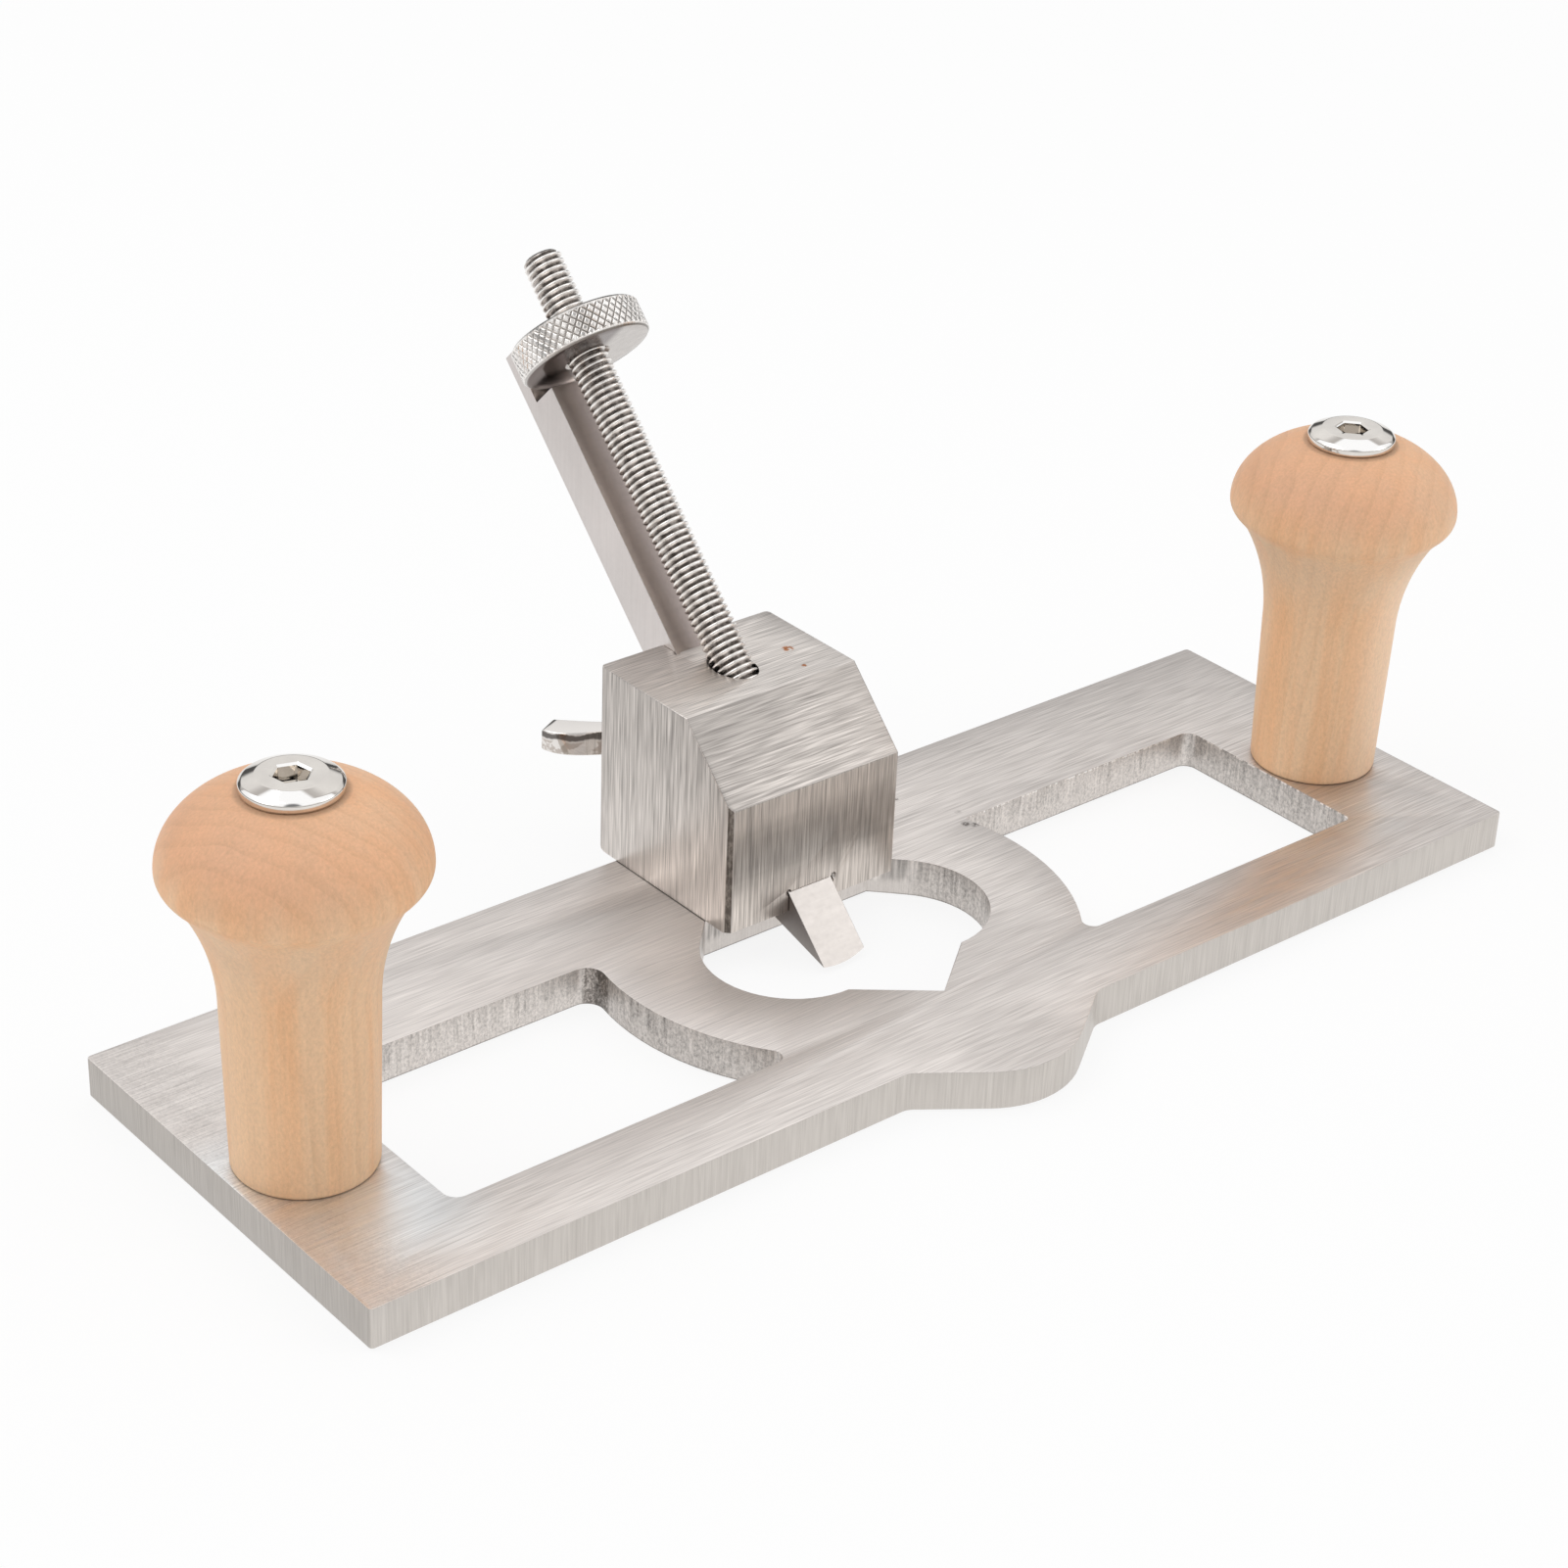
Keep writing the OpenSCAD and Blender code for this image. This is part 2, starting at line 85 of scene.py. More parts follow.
def softenedCopy(nodeName, body, material, width, keep=None):
    # the node's own shape with its hard edges broken by a fine bevel, except those to keep
    work = bmesh.new()
    work.from_mesh(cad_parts[nodeName].data)
    bmesh.ops.remove_doubles(work, verts=work.verts, dist=soften["weld"])
    bmesh.ops.dissolve_limit(work, angle_limit=math.radians(soften["flat"]), verts=work.verts,
                             edges=work.edges, delimit={"NORMAL"})
    hard = [e for e in work.edges if len(e.link_faces) == 2
            and e.calc_face_angle(0) > math.radians(soften["hard"]) and not (keep and keep(e))]
    bmesh.ops.bevel(work, geom=hard, offset=width * mm, segments=soften["segments"],
                    profile=soften["profile"], affect="EDGES", clamp_overlap=False, miter_outer="SHARP")
    pieceName = nodeName + "_worn"
    mesh = bpy.data.meshes.new(pieceName)
    work.to_mesh(mesh)
    work.free()
    addPiece(pieceName, mesh, body, material, soften["sharp"], nodeName)


def loft(rings, matrix, tube=False):
    # rings are lists of equally many local points in millimetres, and a tube's last joins its first
    count = len(rings[0])
    points = [matrix @ (Vector(p) * mm) for ring in rings for p in ring]
    faces = []
    for i in range(len(rings) if tube else len(rings) - 1):
        a, b = i * count, (i + 1) % len(rings) * count
        for k in range(count):
            n = (k + 1) % count
            faces.append((a + k, a + n, b + n, b + k))
    if not tube:
        faces.append(tuple(range(count - 1, -1, -1)))
        faces.append(tuple(range(len(points) - count, len(points))))
    return points, faces


def polar(radius, angle, z):
    return (radius * math.cos(angle), radius * math.sin(angle), z)


def circleRing(radius, z, count):
    return [polar(radius, 2 * math.pi * k / count, z) for k in range(count)]


def hexRing(acrossFlats, z, count, turn):
    ring = []
    for k in range(count):
        angle = 2 * math.pi * k / count
        local = (angle - turn) % (math.pi / 3) - math.pi / 6
        ring.append(polar(acrossFlats / 2 / math.cos(local), angle, z))
    return ring


def arcPoints(centreR, centreZ, radiusR, radiusZ, start, end, steps):
    # part of a circle or an ellipse in an (r, z) profile, from start to end degrees
    angles = [math.radians(start + (end - start) * i / steps) for i in range(steps + 1)]
    return [(centreR + radiusR * math.cos(a), centreZ + radiusZ * math.sin(a)) for a in angles]


def roundCorners(profile, radius, steps=4):
    # each inner corner of an (r, z) line becomes a small arc
    made = [profile[0]]
    for a, b, c in zip(profile, profile[1:], profile[2:]):
        a, b, c = Vector(a), Vector(b), Vector(c)
        reach = min(radius, (a - b).length * 0.45, (c - b).length * 0.45)
        p, q = b + (a - b).normalized() * reach, b + (c - b).normalized() * reach
        for i in range(steps + 1):
            t = i / steps
            made.append(tuple((1 - t) ** 2 * p + 2 * t * (1 - t) * b + t * t * q))
    made.append(profile[-1])
    return made


# Material helpers

class Nodes:
    # a node tree and the sums that are made in it
    def __init__(self, tree):
        self.tree = tree

    def put(self, kind, sockets=None, **settings):
        # each input gets a link or a plain value
        node = self.tree.nodes.new("ShaderNode" + kind)
        for key, value in settings.items():
            setattr(node, key, value)
        for key, value in (sockets or {}).items():
            if isinstance(value, bpy.types.NodeSocket):
                self.tree.links.new(value, node.inputs[key])
            else:
                node.inputs[key].default_value = value
        return node

    def math(self, operation, a, b=0.0, c=0.0):
        return self.put("Math", {0: a, 1: b, 2: c}, operation=operation).outputs[0]

    def vector(self, operation, a, b):
        return self.put("VectorMath", {0: a, 1: b}, operation=operation).outputs

    def times(self, first, *others):
        for other in others:
            first = self.math("MULTIPLY", first, other)
        return first

    def most(self, first, *others):
        for other in others:
            first = self.math("MAXIMUM", first, other)
        return first

    def plus(self, a, b):
        return self.math("ADD", a, b)

    def minus(self, a, b):
        return self.math("SUBTRACT", a, b)

    def timesPlus(self, a, b, c):
        return self.math("MULTIPLY_ADD", a, b, c)

    def spread(self, value, reach, toLow=0.0, toHigh=1.0):
        # toLow below the reach and toHigh above it, smoothly in between
        return self.put("MapRange", {"Value": value, "From Min": reach[0], "From Max": reach[1],
                                     "To Min": toLow, "To Max": toHigh},
                        interpolation_type="SMOOTHSTEP").outputs["Result"]

    def fall(self, value, reach):
        return self.spread(value, reach, 1.0, 0.0)

    def parts(self, socket, axes="XYZ"):
        outputs = self.put("SeparateXYZ", {0: socket}).outputs
        return [outputs[axis] for axis in axes]


class Look(Nodes):
    # one metal or wood, whose colour and shade build up step by step
    def __init__(self, name, colour=None):
        self.material = bpy.data.materials.new(name)
        self.material.use_nodes = True
        super().__init__(self.material.node_tree)
        self.shader = self.tree.nodes["Principled BSDF"]
        self.coords = self.put("TexCoord").outputs
        self.colour = colour
        self.shade = 1.0

    def place(self, axes="XYZ"):
        # metres in the row frame
        return self.parts(self.coords["Object"], axes)

    def normal(self, axes="XYZ"):
        return self.parts(self.coords["Normal"], axes)

    def length(self, a, b):
        return self.math("SQRT", self.plus(self.times(a, a), self.times(b, b)))

    def blend(self, factor, a, b):
        # a and b are plain values
        return self.put("Mix", {0: factor, 2: a, 3: b}).outputs[0]

    def mix(self, factor, a, b):
        # a and b are colours
        a, b = (c if isinstance(c, bpy.types.NodeSocket) else (*c, 1) for c in (a, b))
        return self.put("Mix", {0: factor, 6: a, 7: b}, data_type="RGBA").outputs[2]

    def noise(self, scale, detail=2.0, rough=0.5, at=None):
        # scale is cycles per metre along X, Y and Z
        spot = self.put("Mapping", {"Vector": at or self.coords["Object"], "Scale": scale})
        return self.put("TexNoise", {"Vector": spot.outputs[0], "Scale": 1.0, "Detail": detail,
                                     "Roughness": rough}).outputs["Fac"]

    def dots(self, at, scale, reach, share):
        # a soft dot in a small share of random cells
        cells = self.put("TexVoronoi", {"Vector": at, "Scale": scale, "Randomness": 1.0})
        chance = self.put("TexWhiteNoise", {"Vector": cells.outputs["Position"]}, noise_dimensions="3D")
        return self.times(self.fall(cells.outputs["Distance"], reach),
                          self.math("LESS_THAN", chance.outputs["Value"], share))

    def spot(self, x, y, radius, soft, much=1.0):
        # much round an upright line, falling to 0 over soft, in millimetres
        flat = self.vector("MULTIPLY", self.coords["Object"], (1, 1, 0))[0]
        away = self.vector("DISTANCE", flat, (x * mm, y * mm, 0))["Value"]
        return self.spread(away, (radius * mm, (radius + soft) * mm), much, 0.0)

    def paint(self, factor, colour):
        self.colour = self.mix(factor, self.colour, colour)

    def vary(self, value, much=1.0):
        self.shade = self.timesPlus(value, much, self.shade)

    def streak(self, pattern, much):
        # brighter where the pattern is above its middle, darker below
        self.vary(self.minus(pattern, 0.5), much)

    def bump(self, height, strength, distance):
        bumped = self.put("Bump", {"Height": height, "Strength": strength, "Distance": distance})
        self.tree.links.new(bumped.outputs[0], self.shader.inputs["Normal"])

    def finish(self, rough, metal=1.0):
        shaded = self.put("VectorMath", {0: self.colour, "Scale": self.shade}, operation="SCALE")
        self.tree.links.new(shaded.outputs[0], self.shader.inputs["Base Color"])
        self.tree.links.new(rough, self.shader.inputs["Roughness"])
        self.shader.inputs["Metallic"].default_value = metal
        return self.material


# part of a normal on a face that looks straight to the left or to the front
squareOn = (-0.95, -0.85)
# middle part of a noise, over which roughness changes
noiseReach = (0.3, 0.7)


# Steel of the plate and the block, with short hairlines along X on top and upright on the walls

# lines have this many cycles per metre across, hairs and broad streaks a multiple of it
hairline = {"across": 4700, "hairAcross": 1.2, "hairAlong": 0.7, "bright": (0.62, 0.72),
            "dark": (0.28, 0.38), "broad": 0.16}
brushed = {"cloud": 0.06, "bump": 0.16, "bumpHeight": 0.00003, "pit": (0.12, 0.10, 0.09),
           "pitScale": 210.0, "pitReach": (0.02, 0.05), "pitShare": 0.03, "pitStrength": 0.8}


def brushedLines(look, tones, upright):
    # fine lines, a few bright and dark hairs, soft broad streaks
    def lines(acrossTimes, alongTimes, detail, rough):
        across, along = hairline["across"] * acrossTimes, tones["along"] * alongTimes
        scale = (across, across, along) if upright else (along, across, across)
        return look.noise(scale, detail, rough)

    strength = tones["wallFine"] if upright else tones["fine"]
    fine = lines(1, 1, 1.0, 0.6)
    hair = lines(hairline["hairAcross"], hairline["hairAlong"], 1.0, 0.5)
    broad = lines(hairline["broad"], hairline["broad"], 2.0, 0.5)
    shade = look.timesPlus(look.minus(fine, 0.5), strength, 1.0)
    shade = look.timesPlus(look.minus(broad, 0.5), tones["broad"], shade)
    hairs = look.minus(look.spread(hair, hairline["bright"]), look.fall(hair, hairline["dark"]))
    return look.timesPlus(hairs, tones["hair"] * min(1, strength / tones["fine"]), shade), fine


def brushedLook(name, tones):
    # what the plate and the block have in common
    look = Look(name)
    look.topness = look.spread(look.math("ABSOLUTE", look.normal("Z")[0]), (0.3, 0.5))
    topShade, topLines = brushedLines(look, tones, False)
    wallShade, wallLines = brushedLines(look, tones, True)
    # painted shade: the walls get a darker tone than the top
    look.colour = look.mix(look.topness, tones["wall"], tones["top"])
    look.shade = look.blend(look.topness, wallShade, topShade)
    look.height = look.blend(look.topness, wallLines, topLines)
    look.rough = look.spread(look.height, noiseReach, *tones["rough"])
    look.streak(look.noise((60, 90, 90), 3.0, 0.55), brushed["cloud"])
    return look


def finishBrushed(look):
    # small dark pits, few and far apart, over everything else
    pit = look.dots(look.coords["Object"], brushed["pitScale"], brushed["pitReach"], brushed["pitShare"])
    look.paint(look.times(pit, brushed["pitStrength"]), brushed["pit"])
    look.bump(look.height, brushed["bump"], brushed["bumpHeight"])
    return look.finish(look.rough)


plateSteel = {"top": (0.72, 0.675, 0.645), "wall": (0.64, 0.60, 0.56), "inner": (0.70, 0.655, 0.62),
              "paintedPale": (0.83, 0.87, 0.895), "hole": (0.16, 0.14, 0.125), "betweenHoles": (0.46, 0.42, 0.39),
              "rim": (0.20, 0.18, 0.165), "seamAndContactShade": (0.05, 0.042, 0.036), "rough": (0.50, 0.38),
              "along": 130, "fine": 0.60, "wallFine": 0.22, "hair": 0.14, "broad": 0.02, "endShade": 0.05,
              "rightShade": -0.15, "leftWallShade": -0.20, "sparkle": 0.7, "markMiddle": 0.54,
              "grainBump": 2.0, "rimStrength": 0.65, "paintedRimGlint": 0.45}
# strength in the opening and in the windows of the walls' grains, cut marks and holes
plateWalls = {"grains": (0.3, 1.7), "cuts": (1.8, 0.8), "holes": (0.0, 0.35)}
# where the plate's look changes: ranges of X, Y or Z in metres
plateReach = {"leftEnd": (-0.094, -0.086), "roughEnd": (-0.0935, -0.0865), "right": (0.008, 0.052),
              "frontRail": (-0.0545, -0.0535), "rearRail": (0.0098, 0.0104), "ends": (0.0812, 0.0825),
              "cutMarks": (0.0016, 0.0030), "opening": (0.018, 0.022), "lowerRim": (0.00012, 0.00030),
              "upperRim": (0.00545, 0.00562), "paintedRimGlint": (0.030, 0.036)}
# spots on the plate: X, Y, radius and soft edge in millimetres, strength
plateSpots = {"paintedPale": ((-88, -40, 4, 12, 0.7), (81, -43, 3, 7, 0.45), (69, -44, 2, 8, 0.35),
                        (-98, -24, 2, 10, 0.6)),
              "nose": (0, -60, 5, 8, 0.14), "pittedCorner": (-33.2, -11.2, 2.6, 0.9, 0.85),
              "marks": ((32.7, -10.9, 0.35, 0.5, 0.9), (33.7, -11.9, 0.2, 0.7, 0.8),
                        (29.3, 0.6, 0.2, 0.25, 0.9), (34.2, -7.6, 0.25, 0.5, 0.3))}
# the seam round the block's foot, a joint line with painted contact shade, in metres, and its strength
seamAndContactShade = {"left": -0.01512, "right": 0.01512, "front": -0.0149, "rear": 0.0152, "soft": 0.00012,
        "strength": 0.75}


def seamBox(look, px, py):
    # 1 on the block's footprint, 0 outside
    soft = seamAndContactShade["soft"]
    sides = []
    for value, low, high in ((px, seamAndContactShade["left"], seamAndContactShade["right"]), (py, seamAndContactShade["front"], seamAndContactShade["rear"])):
        sides.append(look.spread(value, (low - soft, low + soft)))
        sides.append(look.fall(value, (high - soft, high + soft)))
    return look.times(*sides)


def plateMaterial():
    look = brushedLook("brushed plate steel", plateSteel)
    px, py, pz = look.place()
    aside = look.math("ABSOLUTE", px)
    # pale patches painted in front of the knobs' feet, over the knobs' brown reflection in the top
    paintedPale = look.most(*[look.spot(*spot) for spot in plateSpots["paintedPale"]])
    look.paint(look.times(paintedPale, look.topness), plateSteel["paintedPale"])
    # the top is a little darker at the left end, on the right and on the nose
    level = look.plus(look.spread(px, plateReach["leftEnd"], 0.0, plateSteel["endShade"]),
                      look.spread(px, plateReach["right"], 0.0, plateSteel["rightShade"]))
    look.vary(look.minus(level, look.spot(*plateSpots["nose"])), look.topness)
    # sparkling rough patch on the top's left end
    grains = look.noise((2300, 2300, 1800), 4.0, 0.8)
    sparkle = look.minus(grains, 0.5)
    look.vary(look.times(look.fall(px, plateReach["roughEnd"]), look.topness, sparkle), plateSteel["sparkle"])
    # painted shade: walls that face left are darker
    wall = look.fall(look.topness, (0.2, 0.8))
    leftward = look.spread(look.normal("X")[0], (-0.95, -0.6), plateSteel["leftWallShade"], 0.0)
    look.vary(look.times(leftward, wall))

    # walls of the windows and the opening: coarse grains and cut marks above, smoother below
    inner = look.times(wall, look.spread(py, plateReach["frontRail"]), look.fall(py, plateReach["rearRail"]),
                       look.fall(aside, plateReach["ends"]))
    look.paint(inner, plateSteel["inner"])
    grainy, cutting, holed = (look.spread(aside, plateReach["opening"], *plateWalls[name])
                              for name in ("grains", "cuts", "holes"))
    marks = look.noise((1500, 1500, 130))
    cut = look.times(look.minus(marks, plateSteel["markMiddle"]), look.spread(pz, plateReach["cutMarks"]),
                     cutting)
    look.vary(look.times(inner, look.timesPlus(sparkle, grainy, cut)))
    look.paint(look.times(inner, look.spread(grains, (0.60, 0.72)), holed), plateSteel["hole"])
    look.height = look.timesPlus(look.times(inner, grains), plateSteel["grainBump"], look.height)
    # dark pitted corner of the left window, thin dark lower rim, and a broken painted highlight on the upper
    # rim
    pitted = look.mix(look.spread(grains, (0.45, 0.62)), plateSteel["hole"], plateSteel["betweenHoles"])
    look.paint(look.times(look.spot(*plateSpots["pittedCorner"]), inner), pitted)
    rim = look.spread(pz, plateReach["lowerRim"], plateSteel["rimStrength"], 0.0)
    look.paint(look.times(inner, rim), plateSteel["rim"])
    paintedRimGlint = look.times(look.spread(pz, plateReach["upperRim"]), look.spread(marks, (0.50, 0.56)), inner,
                      look.spread(px, plateReach["paintedRimGlint"]))
    look.vary(paintedRimGlint, plateSteel["paintedRimGlint"])

    # small dark marks on the top, and a thin dark seam round the block's foot, a joint line with painted
    # contact shade
    for spot in plateSpots["marks"]:
        look.paint(look.times(look.spot(*spot), look.spread(grains, (0.40, 0.52))), brushed["pit"])
    look.paint(look.times(seamBox(look, px, py), look.topness, seamAndContactShade["strength"]), plateSteel["seamAndContactShade"])
    return finishBrushed(look)


blockSteel = {"top": (0.69, 0.645, 0.61), "wall": (0.61, 0.565, 0.53), "front": (0.66, 0.60, 0.55),
              "chamfer": (0.41, 0.38, 0.357), "corner": (0.19, 0.165, 0.145), "crumb": (0.36, 0.32, 0.285),
              "rust": (0.42, 0.16, 0.06), "rough": (0.42, 0.32), "cornerRough": 0.7, "along": 140,
              "fine": 1.20, "wallFine": 1.20, "hair": 0.24, "broad": 0.01, "band": 0.45, "bandTop": 0.58,
              "bandWobble": 0.0035, "leftShade": (0.14, -0.18), "chamferShade": (0.03, 0.14),
              "crumbBump": 3.0}
# where the block's look changes: ranges of X or Z in metres
blockReach = {"leftFace": (0.004, 0.030), "chamfer": (-0.005, 0.014), "bandLow": (0.0105, 0.0175),
              "bandHigh": (0.0200, 0.0250)}
# rust spots: X, Y, radius and soft edge in millimetres, then the noise level where each begins
rustSpots = ((9.6, 3.6, 0.55, 0.5, 0.42), (8.2, -1.7, 0.25, 0.25, 0.45))


def blockMaterial():
    look = brushedLook("brushed block steel", blockSteel)
    px, pz = look.place("XZ")
    nx, ny, nz = look.normal()
    front = look.fall(ny, squareOn)
    slope = look.times(look.fall(ny, (-0.55, -0.45)), look.spread(nz, (0.45, 0.55)))
    # painted light and shade: the front face and the chamfer get tones of their own
    look.paint(front, blockSteel["front"])
    look.paint(slope, blockSteel["chamfer"])
    # painted shade and light: the left face darkens slowly upwards, the chamfer brightens to the right
    upward = look.spread(pz, blockReach["leftFace"], *blockSteel["leftShade"])
    rightward = look.spread(px, blockReach["chamfer"], *blockSteel["chamferShade"])
    look.vary(look.times(look.fall(nx, squareOn), upward))
    look.vary(look.times(slope, rightward))
    # painted reflection: the front face darkens upwards and has a soft dark band across it
    height = look.timesPlus(look.noise((90, 90, 400)), blockSteel["bandWobble"], pz)
    band = look.times(look.spread(height, blockReach["bandLow"]),
                      look.spread(height, blockReach["bandHigh"], 1.0, blockSteel["bandTop"]),
                      front, blockSteel["band"])
    look.shade = look.times(look.shade, look.minus(1.0, band))
    # rough dark strip on the broken front left corner
    strip = look.times(look.spread(nx, (-0.80, -0.74)), look.fall(nx, (-0.66, -0.60)),
                       look.fall(ny, (-0.66, -0.60)))
    crumbs = look.noise((1600, 1600, 900), 4.0, 0.7)
    look.paint(strip, look.mix(look.spread(crumbs, (0.4, 0.65)), blockSteel["corner"], blockSteel["crumb"]))
    look.rough = look.blend(strip, look.rough, blockSteel["cornerRough"])
    look.height = look.timesPlus(look.times(strip, crumbs), blockSteel["crumbBump"], look.height)
    # rust specks on the top
    specks = look.noise((1300, 2200, 1300), 3.0, 0.6)
    rusty = look.most(*[look.times(look.spot(*spot), look.spread(specks, (begin, 0.5)))
                        for *spot, begin in rustSpots])
    look.paint(look.times(rusty, look.spread(nz, (0.9, 0.95))), blockSteel["rust"])
    return finishBrushed(look)


# Ground tool steel of the bar

barSteel = {"side": (0.64, 0.595, 0.575), "front": (0.90, 0.81, 0.76), "frontMiddle": (0.30, 0.255, 0.24),
            "blade": (0.507, 0.473, 0.448), "shadow": (0.15, 0.13, 0.12), "shadowLow": (0.27, 0.245, 0.23),
            "rough": (0.32, 0.28), "lines": 0.14, "fine": 0.05, "cloud": 0.20}
# where the bar's look changes: ranges of X or Z in metres
barReach = {"blade": (0.0150, 0.0250), "halfWidth": (0.0, 0.0039), "shadow": (0.0010, 0.0062)}


def barMaterial():
    look = Look("ground tool steel", barSteel["side"])
    nx, ny, nz = look.normal()
    px, pz = look.place("XZ")
    fine = look.noise((1200, 1200, 1200), 3.0, 0.6)
    look.streak(look.noise((120, 2400, 120)), barSteel["lines"])
    look.streak(fine, barSteel["fine"])
    look.streak(look.noise((60, 60, 60)), barSteel["cloud"])
    # painted reflection: the front is dark along its middle and bright at its edges above the blade
    facing = look.times(look.fall(ny, (-0.6, -0.5)), look.spread(nz, (0.5, 0.6)))
    low = look.fall(pz, barReach["blade"])
    outward = look.spread(look.math("ABSOLUTE", px), barReach["halfWidth"])
    front = look.mix(outward, barSteel["frontMiddle"], barSteel["front"])
    look.paint(facing, look.mix(low, front, barSteel["blade"]))
    # the blade's left side lies in the shade of the mouth
    shadow = look.mix(look.spread(pz, barReach["shadow"]), barSteel["shadowLow"], barSteel["shadow"])
    look.paint(look.times(look.fall(nx, squareOn), low), shadow)
    return look.finish(look.spread(fine, noiseReach, *barSteel["rough"]))


# Bright rolled thread, knurled nut, nickel and blackened steel

# names that end in Away are ranges of distance from the rod's axis, in metres
rodSteel = {"root": (0.13, 0.115, 0.105), "flank": (0.66, 0.62, 0.59), "crest": (0.95, 0.92, 0.89),
            "flankAway": (0.00238, 0.00258), "crestAway": (0.00266, 0.00288), "wander": 0.0005,
            "rough": (0.22, 0.34)}
nutSteel = {"pads": ((0.78, 0.745, 0.715), (0.97, 0.945, 0.92)),
            "flat": ((0.50, 0.465, 0.44), (0.56, 0.525, 0.495)),
            "grooves": ((0.24, 0.22, 0.20), (0.50, 0.475, 0.45)), "below": (0.215, 0.185, 0.175),
            "padAway": (0.00954, 0.00972), "rimAway": (0.00935, 0.00945), "flatRough": 0.20, "rimRough": 0.26}
# the near side is a direction in X and Y, and the bevel lies between two ranges of a normal's Z
nickel = {"plain": ((0.71, 0.675, 0.635), (0.78, 0.745, 0.70)), "patch": (0.30, 0.27, 0.25),
          "bright": (0.97, 0.96, 0.95), "rough": (0.05, 0.10), "nearSide": (-0.65, -0.76),
          "bevel": ((0.60, 0.70), (0.97, 0.99)), "patchReach": (0.24, 0.33), "patchStrength": 0.6,
          "brightReach": (0.335, 0.36)}
# levels run from 0 in the ears' middle to 1 at their upper edge; the other lengths are metres
wingNickel = {"plain": (0.80, 0.765, 0.735), "brown": (0.55, 0.495, 0.455), "dark": (0.17, 0.155, 0.145),
              "rough": (0.06, 0.12), "rootHalf": 0.00245, "taper": 0.05, "ears": (0.0055, 0.0075),
              "wobble": 0.6, "brownLevel": (0.10, 0.30), "darkLevels": ((0.25, 0.45), (0.80, 0.92))}
blackSteel = {"tones": ((0.02, 0.02, 0.022), (0.05, 0.05, 0.052)), "rough": (0.35, 0.5), "metal": 0.6}


def rodRadius(look):
    # distance from the rod's axis, in metres
    angle = math.radians(bed["angle"])
    edge = (0, -bed["edgeForward"] * mm, bed["edgeHeight"] * mm)
    x, y, z = look.parts(look.vector("SUBTRACT", look.coords["Object"], edge)[0])
    back = look.minus(look.times(y, math.sin(angle)), look.times(z, math.cos(angle)))
    return look.length(x, look.plus(back, bed["rodOffset"] * mm))


def rodMaterial():
    look = Look("bright rolled thread", rodSteel["root"])
    cloud = look.noise((900, 900, 900), 3.0, 0.6)
    away = look.timesPlus(look.minus(cloud, 0.5), rodSteel["wander"], rodRadius(look))
    # painted shade in the thread's roots and a painted highlight on its crests
    look.paint(look.spread(away, rodSteel["flankAway"]), rodSteel["flank"])
    look.paint(look.spread(away, rodSteel["crestAway"]), rodSteel["crest"])
    return look.finish(look.spread(cloud, noiseReach, *rodSteel["rough"]))


def nutMaterial():
    look = Look("turned nut steel")
    away = rodRadius(look)
    cloud = look.noise((1100, 1100, 1100), 3.0, 0.6)
    px, ny, nz = look.place("X") + look.normal("YZ")
    look.colour = look.mix(look.spread(cloud, noiseReach), *nutSteel["flat"])
    # painted reflection of the bar: the flat underside is dark on its left part
    below = look.times(look.fall(look.plus(ny, nz), (-1.2, -1.0)), look.fall(px, (0.0002, 0.0022)))
    look.paint(below, nutSteel["below"])
    # on the rim the pads get a painted highlight and the grooves painted shade, lighter on the left
    pads = look.mix(look.spread(cloud, (0.35, 0.7)), *nutSteel["pads"])
    grooves = look.mix(look.fall(px, (-0.008, -0.003)), *nutSteel["grooves"])
    rim = look.spread(away, nutSteel["rimAway"])
    look.paint(rim, look.mix(look.spread(away, nutSteel["padAway"]), grooves, pads))
    return look.finish(look.blend(rim, nutSteel["flatRough"], nutSteel["rimRough"]))


def nickelMaterial():
    look = Look("bright nickel")
    cloud = look.noise((300, 300, 300), 3.0)
    nx, ny, nz = look.normal()
    look.colour = look.mix(look.spread(cloud, (0.35, 0.7)), *nickel["plain"])
    # painted highlight and dark reflections: the bolts' bevel is bright on the near side, between two soft
    # dark patches
    nearX, nearY = nickel["nearSide"]
    facing = look.timesPlus(nx, nearX, look.times(ny, nearY))
    bevel = look.times(look.spread(nz, nickel["bevel"][0]), look.fall(nz, nickel["bevel"][1]))
    patches = look.times(look.spread(facing, nickel["patchReach"]), bevel, nickel["patchStrength"])
    look.paint(patches, nickel["patch"])
    look.paint(look.times(look.spread(facing, nickel["brightReach"]), bevel), nickel["bright"])
    return look.finish(look.spread(cloud, noiseReach, *nickel["rough"]))


